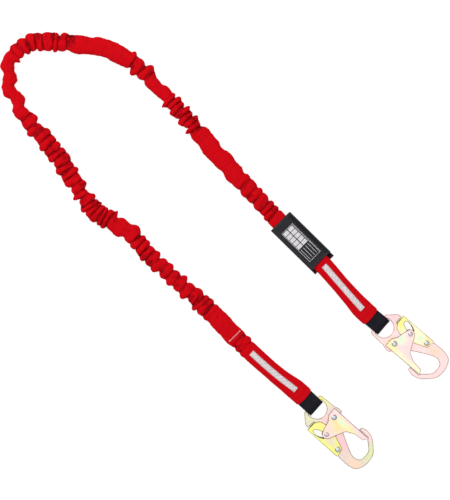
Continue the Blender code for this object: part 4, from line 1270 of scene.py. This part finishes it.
class LANYARD_OT_cover(bpy.types.Operator):
    """Builds the label cover: its back, its flap with a blank print, tapes, card and seams"""

    bl_idname = "lanyard.cover"
    bl_label = "Label cover"

    def execute(self, context):
        values = settings()
        cloth = cover_cloth("cover_cloth", values.cover_black)
        back, back_width = cover_sheet("cover_back", BACK_LINE, -50, 50, -1, cloth, 0.0, 11)
        flap, flap_width = cover_sheet("cover_flap", FLAP_LINE, -50, 42, 1, cloth, 2.4, 12)
        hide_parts("label_cover_back")
        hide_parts("label_cover_flap")
        for piece, body in ((back, "root"), (flap, "label_flap")):
            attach(piece, body)
        self.tapes()
        self.print_on_flap()
        self.seams()
        self.card()
        self.binding(cloth)
        return {"FINISHED"}

    @staticmethod
    def along_cover(x, y, z):
        """Points from distances along the cover, across it to its fold, and over the table."""
        centre, ahead, aside = cover_axes()
        x, y, z = np.broadcast_arrays(x, y, z)
        points = centre + (x * MM)[..., None] * ahead + (y * MM)[..., None] * aside
        points[..., 2] += z * MM
        return points

    def tapes(self):
        """Both closure tapes: flat bands whose faces towards each other carry the pile."""
        kinds = (
            ("loop_side", "loop_tape", 6.89, "root", 2600.0),
            ("hook_side", "hook_tape", 7.89, "label_flap", 1500.0),
        )
        for name, node, low, body, scale in kinds:
            ring = box_ring(1.9, 0.0, 0.7, 7, 0.3)
            along = np.linspace(-46, 38, 120)
            wave = 0.05 * np.sin(along * 2.1)[:, None]
            points = self.along_cover(along[:, None], ring[:, 0] - 17.4 + wave, ring[:, 1] + low)
            pile = tape_pile(name + "_pile", (0.012, 0.012, 0.012), scale)
            piece = surface(name, points, pile, around=True)
            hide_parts(node)
            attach(piece, body)

    def print_on_flap(self):
        """A thin film of ink for each patch, laid on the flap."""
        tree = tree_over("cover_flap")
        verts, faces = [], []
        count = 7
        for x0, x1, y0, y1 in print_patches():
            x, y = np.meshgrid(np.linspace(x0, x1, count), np.linspace(y0, y1, count), indexing="ij")
            base = tops(tree, self.along_cover(x, y, 16 + 0 * x))
            top, bottom = base + (0, 0, 0.09 * MM), base + (0, 0, 0.01 * MM)
            offset = sum(len(part) for part in verts)
            block = np.arange(count * count).reshape(count, count) + offset
            under = block + count * count
            for layer, flip in ((block, 1), (under, -1)):
                quads = np.stack((layer[:-1, :-1], layer[1:, :-1], layer[1:, 1:], layer[:-1, 1:]), -1)
                faces += quads.reshape(-1, 4)[:, ::flip].tolist()
            rim = np.concatenate((block[0, :-1], block[:-1, -1], block[-1, :0:-1], block[:0:-1, 0]))
            low_rim = rim + count * count
            faces += np.stack((rim, np.roll(rim, -1), np.roll(low_rim, -1), low_rim), -1).tolist()
            verts += [top.reshape(-1, 3), bottom.reshape(-1, 3)]
        mesh = bpy.data.meshes.new("blank_print")
        mesh.from_pydata(np.vstack(verts).tolist(), [], faces)
        printed = finished("blank_print", mesh, self.ink(), 40)
        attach(printed, "label_flap")

    @staticmethod
    def binding(cloth):
        """The strip over the fold, a thin band along the fold's line."""
        line = soft_line(BINDING_LINE, 0.25, 8)
        way = unit(np.gradient(line, axis=0))
        aside = np.stack((-way[:, 1], way[:, 0]), axis=1) * 0.2
        section = np.concatenate((line + aside, (line - aside)[::-1]))
        along = np.linspace(-49.4, 41.4, 80)
        centre, ahead, across = cover_axes()
        points = centre + along[:, None, None] * MM * ahead + section[None, :, :1] * MM * across
        points[..., 2] += section[:, 1] * MM
        girth = 12 * MM
        run = np.linspace(0, girth, len(section) + 1)
        made = surface(
            "fold_binding", points, cloth, around=True, uv=grid_uv(along * MM, run),
            marks={"hem": np.full(points.shape[:2], 0.4)},
        )
        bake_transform(made)

    @staticmethod
    def ink():
        """Screen printed ink: chalky white, thin over the weave."""
        made, tree, shader = new_finish("print_ink", roughness=0.65, specular_ior_level=0.3)
        place = object_place(tree)
        fine = noise(tree, place, 900.0, 3.0)
        thin = ranged(tree, fine, 0.45, 0.75, 0.0, 0.8)
        tone = mixed(tree, thin, rgba((0.72, 0.68, 0.70)), rgba((0.25, 0.24, 0.26)))
        painted(tree, shader, tone, ranged(tree, fine, 0.3, 0.7, 0.55, 0.75))
        bumped(tree, shader, fine, 0.05 * MM)
        return made

    def seams(self):
        """Rows of stitches along the hems of the back and of the flap."""
        thread = threads("cover_thread", (0.05, 0.05, 0.055))
        kinds = (
            ("flap_seams", "cover_flap", -50, 42, 2.4, "label_flap", (-11.5, 20.0)),
            ("back_seams", "cover_back", -50, 50, 0.0, "root", (18.6, 21.6)),
        )
        for name, piece, low, high, draw_in, body, span in kinds:
            tree = tree_over(piece)
            y = np.arange(span[0], span[1], 2.6)
            held = ([], [])
            for x, sign in ((low + 2.2, 0), (high - 2.2, 1)):
                for shift, ends in zip((-0.8, 0.8), held):
                    across = y + shift
                    pull = drawn_in(draw_in, across) * sign
                    ends.append(tops(tree, self.along_cover(x - pull, across, 16.5), 0.02 * MM))
            starts, stops = np.vstack(held[0]), np.vstack(held[1])
            ups = np.broadcast_to((0.0, 0.0, 1.0), starts.shape)
            seam = stitches(name, starts, stops, ups, thread, 0.2 * MM, 0.22 * MM)
            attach(seam, body)

    def card(self):
        """Finish for the inspection card, which keeps its own shape under the flap."""
        made, tree, shader = new_finish("card_paper", roughness=0.5, specular_ior_level=0.4)
        place = object_place(tree)
        fibre = noise(tree, place, 800.0, 4.0)
        tone = mixed(tree, fibre, rgba((0.72, 0.71, 0.66)), rgba((0.84, 0.83, 0.79)))
        painted(tree, shader, tone, ranged(tree, fibre, 0.3, 0.7, 0.42, 0.6))
        bumped(tree, shader, fibre, 0.03 * MM)
        frame["nodes"]["inspection_card"].material_slots[0].material = made


# ---------------------------------------------------------------- hooks


def tint(red, green, blue):
    """A colour from display values of 0 to 255."""
    return tuple((channel / 255) ** 2.2 for channel in (red, green, blue))


PINK, ROSE, GOLD = tint(250, 212, 212), tint(246, 190, 196), tint(250, 218, 150)
LIME, MINT, PEACH = tint(232, 232, 130), tint(208, 244, 206), tint(250, 208, 178)
OLIVE, STONE, CREAM = tint(214, 222, 168), tint(222, 206, 196), tint(248, 240, 196)
RUST = tint(120, 80, 60)

PLATING = {
    "hook_a_body": (PINK, ((14, -24, 26, 16, ROSE, 0.6), (28, 10, 10, 12, PEACH, 0.8),
                           (96, -23, 18, 14, PEACH, 0.8), (112, -4, 16, 40, PINK, 0.7),
                           (0, 20, 14, 8, STONE, 0.5))),
    "hook_a_gate": (PINK, ((62, 18, 62, 8, CREAM, 0.9), (36, 12, 16, 14, LIME, 0.75),
                           (41, -4, 15, 12, MINT, 0.9), (56, 0, 16, 20, PINK, 0.8),
                           (90, 17, 20, 8, CREAM, 0.9))),
    "hook_a_lock": (CREAM, ((23, -26, 17, 22, LIME, 1.0), (63, -25, 13, 9, MINT, 0.9),
                            (78, -28, 14, 18, GOLD, 0.8), (48, -12, 20, 8, PEACH, 0.5))),
    "hook_b_body": (STONE, ((5, 19, 20, 12, LIME, 0.85), (8, -19, 18, 16, OLIVE, 0.8),
                            (28, -2, 12, 14, ROSE, 0.5), (76, -12, 24, 14, ROSE, 1.0),
                            (118, 6, 16, 26, OLIVE, 1.0), (112, -26, 22, 12, PEACH, 0.7),
                            (100, 26, 24, 10, PINK, 0.8))),
    "hook_b_gate": (PINK, ((50, 3, 20, 16, GOLD, 1.0), (54, 10, 20, 6, MINT, 1.0),
                           (70, 11, 20, 9, LIME, 0.7), (92, 18, 24, 12, PINK, 0.7),
                           (47, -18, 12, 10, PEACH, 0.8))),
    "hook_b_lock": (LIME, ((57, -23, 18, 9, STONE, 0.9), (22, -18, 12, 14, LIME, 0.8),
                           (82, -27, 12, 14, LIME, 0.9), (40, -11, 22, 7, GOLD, 0.6))),
}


def rolled(name, node, tag, finish, bends, soft=0.35 * MM, edge_shade=0.9 * MM, bend=1.3 * MM):
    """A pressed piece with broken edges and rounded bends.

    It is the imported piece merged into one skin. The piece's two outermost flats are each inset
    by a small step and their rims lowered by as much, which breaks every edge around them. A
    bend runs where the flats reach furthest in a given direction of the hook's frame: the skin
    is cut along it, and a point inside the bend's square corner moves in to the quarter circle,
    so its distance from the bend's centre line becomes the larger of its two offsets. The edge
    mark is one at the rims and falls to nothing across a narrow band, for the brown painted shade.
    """
    bar, nose, side, up = hook_axes(tag)
    axes = {"nose": nose, "side": side}
    bm = bmesh.new()
    bm.from_mesh(frame["nodes"][node].data)
    # the edge mark carries the brown painted shade along the rims and bends
    edge_shade_mark = bm.verts.layers.float.new("edge")
    bmesh.ops.remove_doubles(bm, verts=bm.verts[:], dist=2e-6)
    co = np.array([vert.co for vert in bm.verts]) - bar
    top = np.abs(co @ up).max()
    lines = []
    for axis, sign in bends:
        way = sign * axes[axis]
        lines.append((way, (co[np.abs(co @ up) > top - 0.02 * MM] @ way).max()))
    cuts = []
    for way, reach in lines:
        for share in (0.29, 0.62, 1.0, 1.25):
            cuts.append((bar + way * (reach - share * bend), way))
            cuts.append((bar + up * (top - share * bend), up))
            cuts.append((bar - up * (top - share * bend), up))
    for place, way in cuts:
        everything = bm.verts[:] + bm.edges[:] + bm.faces[:]
        bmesh.ops.bisect_plane(bm, geom=everything, dist=1e-6, plane_co=place, plane_no=way)
    clean = []
    for sign in (1, -1):
        flat = [
            face for face in bm.faces
            if sign * float(np.dot(face.normal, up)) > 0.999
            and sign * float(np.dot(np.array(face.calc_center_median()) - bar, up)) > top - 0.02 * MM
        ]
        ring = bmesh.ops.inset_region(bm, faces=flat, thickness=soft, use_even_offset=False)["faces"]
        inner = {vert for face in flat for vert in face.verts}
        for vert in {vert for face in ring for vert in face.verts} - inner:
            spot = np.array(vert.co) - bar
            if all(spot @ way < reach - 0.02 * MM for way, reach in lines):
                vert.co -= Vector(up * sign * soft)
        bmesh.ops.inset_region(bm, faces=flat, thickness=edge_shade, use_even_offset=False)
        clean += [vert for face in flat for vert in face.verts]
    for vert in bm.verts:
        spot = np.array(vert.co) - bar
        height = spot @ up
        for way, reach in lines:
            out = spot @ way - (reach - bend)
            rise = abs(height) - (top - bend)
            if out > 0 and rise > 0:
                pull = max(out, rise) / math.hypot(out, rise) - 1
                vert.co += Vector(way * out * pull + up * math.copysign(rise * pull, height))
    bmesh.ops.recalc_face_normals(bm, faces=bm.faces[:])
    for vert in bm.verts:
        vert[edge_shade_mark] = 1.0
    for vert in clean:
        vert[edge_shade_mark] = 0.0
    mesh = bpy.data.meshes.new(name)
    bm.to_mesh(mesh)
    bm.free()
    return linked(name, mesh, finish, 35)


def rivet(name, node, shank, finish):
    """A rivet turned from its half section: a shank with a domed head on each end.

    The dome is a quarter of an ellipse over a short straight rim, with a small flat on its top.
    """
    low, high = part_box(node)
    middle = np.array(((low.x + high.x) / 2, (low.y + high.y) / 2, PLANE))
    head, top = (high.x - low.x) / 2, high.z - PLANE
    seat = top - (1.5 if "pin" in node else 1.9) * MM
    bow = np.linspace(0, math.pi / 2 * 0.93, 12)
    radius = np.concatenate(((shank, shank, head - 0.12 * MM, head), head * np.cos(bow)))
    rise = top - seat - 0.42 * MM
    height = np.concatenate(
        ((0, seat, seat, seat + 0.12 * MM), seat + 0.4 * MM + rise * np.sin(bow) / np.sin(bow[-1]))
    )
    radius = np.concatenate((radius[::-1], radius[1:]))
    height = np.concatenate((-height[::-1], height[1:]))
    angle = np.linspace(0, TAU, 40, endpoint=False)
    points = np.stack(
        (radius[:, None] * np.cos(angle), radius[:, None] * np.sin(angle),
         np.broadcast_to(height[:, None], (len(height), 40))), axis=-1,
    )
    made = surface(name, points + middle, finish, around=True)
    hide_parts(node)
    return made


class LANYARD_OT_hooks(bpy.types.Operator):
    """Builds both snap hooks: plate, gate, lock, rivets and springs, with their plating"""

    bl_idname = "lanyard.hooks"
    bl_label = "Snap hooks"

    def execute(self, context):
        steel = bright("rivet_bright", (0.50, 0.53, 0.56), 0.24)
        spring = bright("spring_dark", (0.16, 0.15, 0.14), 0.35)
        for tag in "ab":
            hook = "hook_" + tag
            kinds = (
                ("_body", "_plate", hook, ()),
                ("_gate", "_folded_gate", hook + "_gate", (("side", 1),)),
                ("_lock", "_folded_lock", hook + "_lock", (("side", -1), ("nose", -1))),
            )
            for part, piece, body, bends in kinds:
                base, patches = PLATING[hook + part]
                finish = plated(hook + part + "_zinc", tag, base, patches)
                made = rolled(hook + piece, hook + part, tag, finish, bends)
                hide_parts(hook + part)
                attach(made, body)
            for part, shank, body in (
                ("_gate_rivet", 3.0, hook), ("_lock_pin", 2.1, hook + "_gate"),
                ("_lock_rivet", 2.6, hook),
            ):
                made = rivet(hook + part + "_turned", hook + part, shank * MM, steel)
                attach(made, body)
            for part in ("_gate_spring", "_lock_spring"):
                frame["nodes"][hook + part].material_slots[0].material = spring
        return {"FINISHED"}


class LANYARD_OT_cord(bpy.types.Operator):
    """Takes the route points off the jacket again"""

    bl_idname = "lanyard.cord"
    bl_label = "Declare the cord"

    def execute(self, context):
        jacket = bpy.data.objects["gathered_jacket"]
        del jacket["route_points"]
        return {"FINISHED"}


# ---------------------------------------------------------------- add-on


class LANYARD_PT_panel(bpy.types.Panel):
    """Lists the lanyard's pieces and its settings"""

    bl_label = "Lanyard"
    bl_idname = "LANYARD_PT_panel"
    bl_space_type = "VIEW_3D"
    bl_region_type = "UI"
    bl_category = "Lanyard"

    def draw(self, context):
        for name in LanyardSettings.__annotations__:
            self.layout.prop(context.scene.lanyard, name)
        for operator in OPERATORS:
            self.layout.operator(operator.bl_idname)


OPERATORS = (
    LANYARD_OT_stage, LANYARD_OT_jacket, LANYARD_OT_core, LANYARD_OT_loops, LANYARD_OT_strips,
    LANYARD_OT_stop_stitch, LANYARD_OT_cover, LANYARD_OT_hooks, LANYARD_OT_cord,
)
CLASSES = (LanyardSettings, *OPERATORS, LANYARD_PT_panel)


def register():
    for item in CLASSES:
        bpy.utils.register_class(item)
    bpy.types.Scene.lanyard = PointerProperty(type=LanyardSettings)


def unregister():
    del bpy.types.Scene.lanyard
    for item in reversed(CLASSES):
        bpy.utils.unregister_class(item)


def main():
    register()
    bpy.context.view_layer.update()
    for operator in OPERATORS:
        group, action = operator.bl_idname.split(".")
        getattr(getattr(bpy.ops, group), action)()


if __name__ == "__main__":
    main()
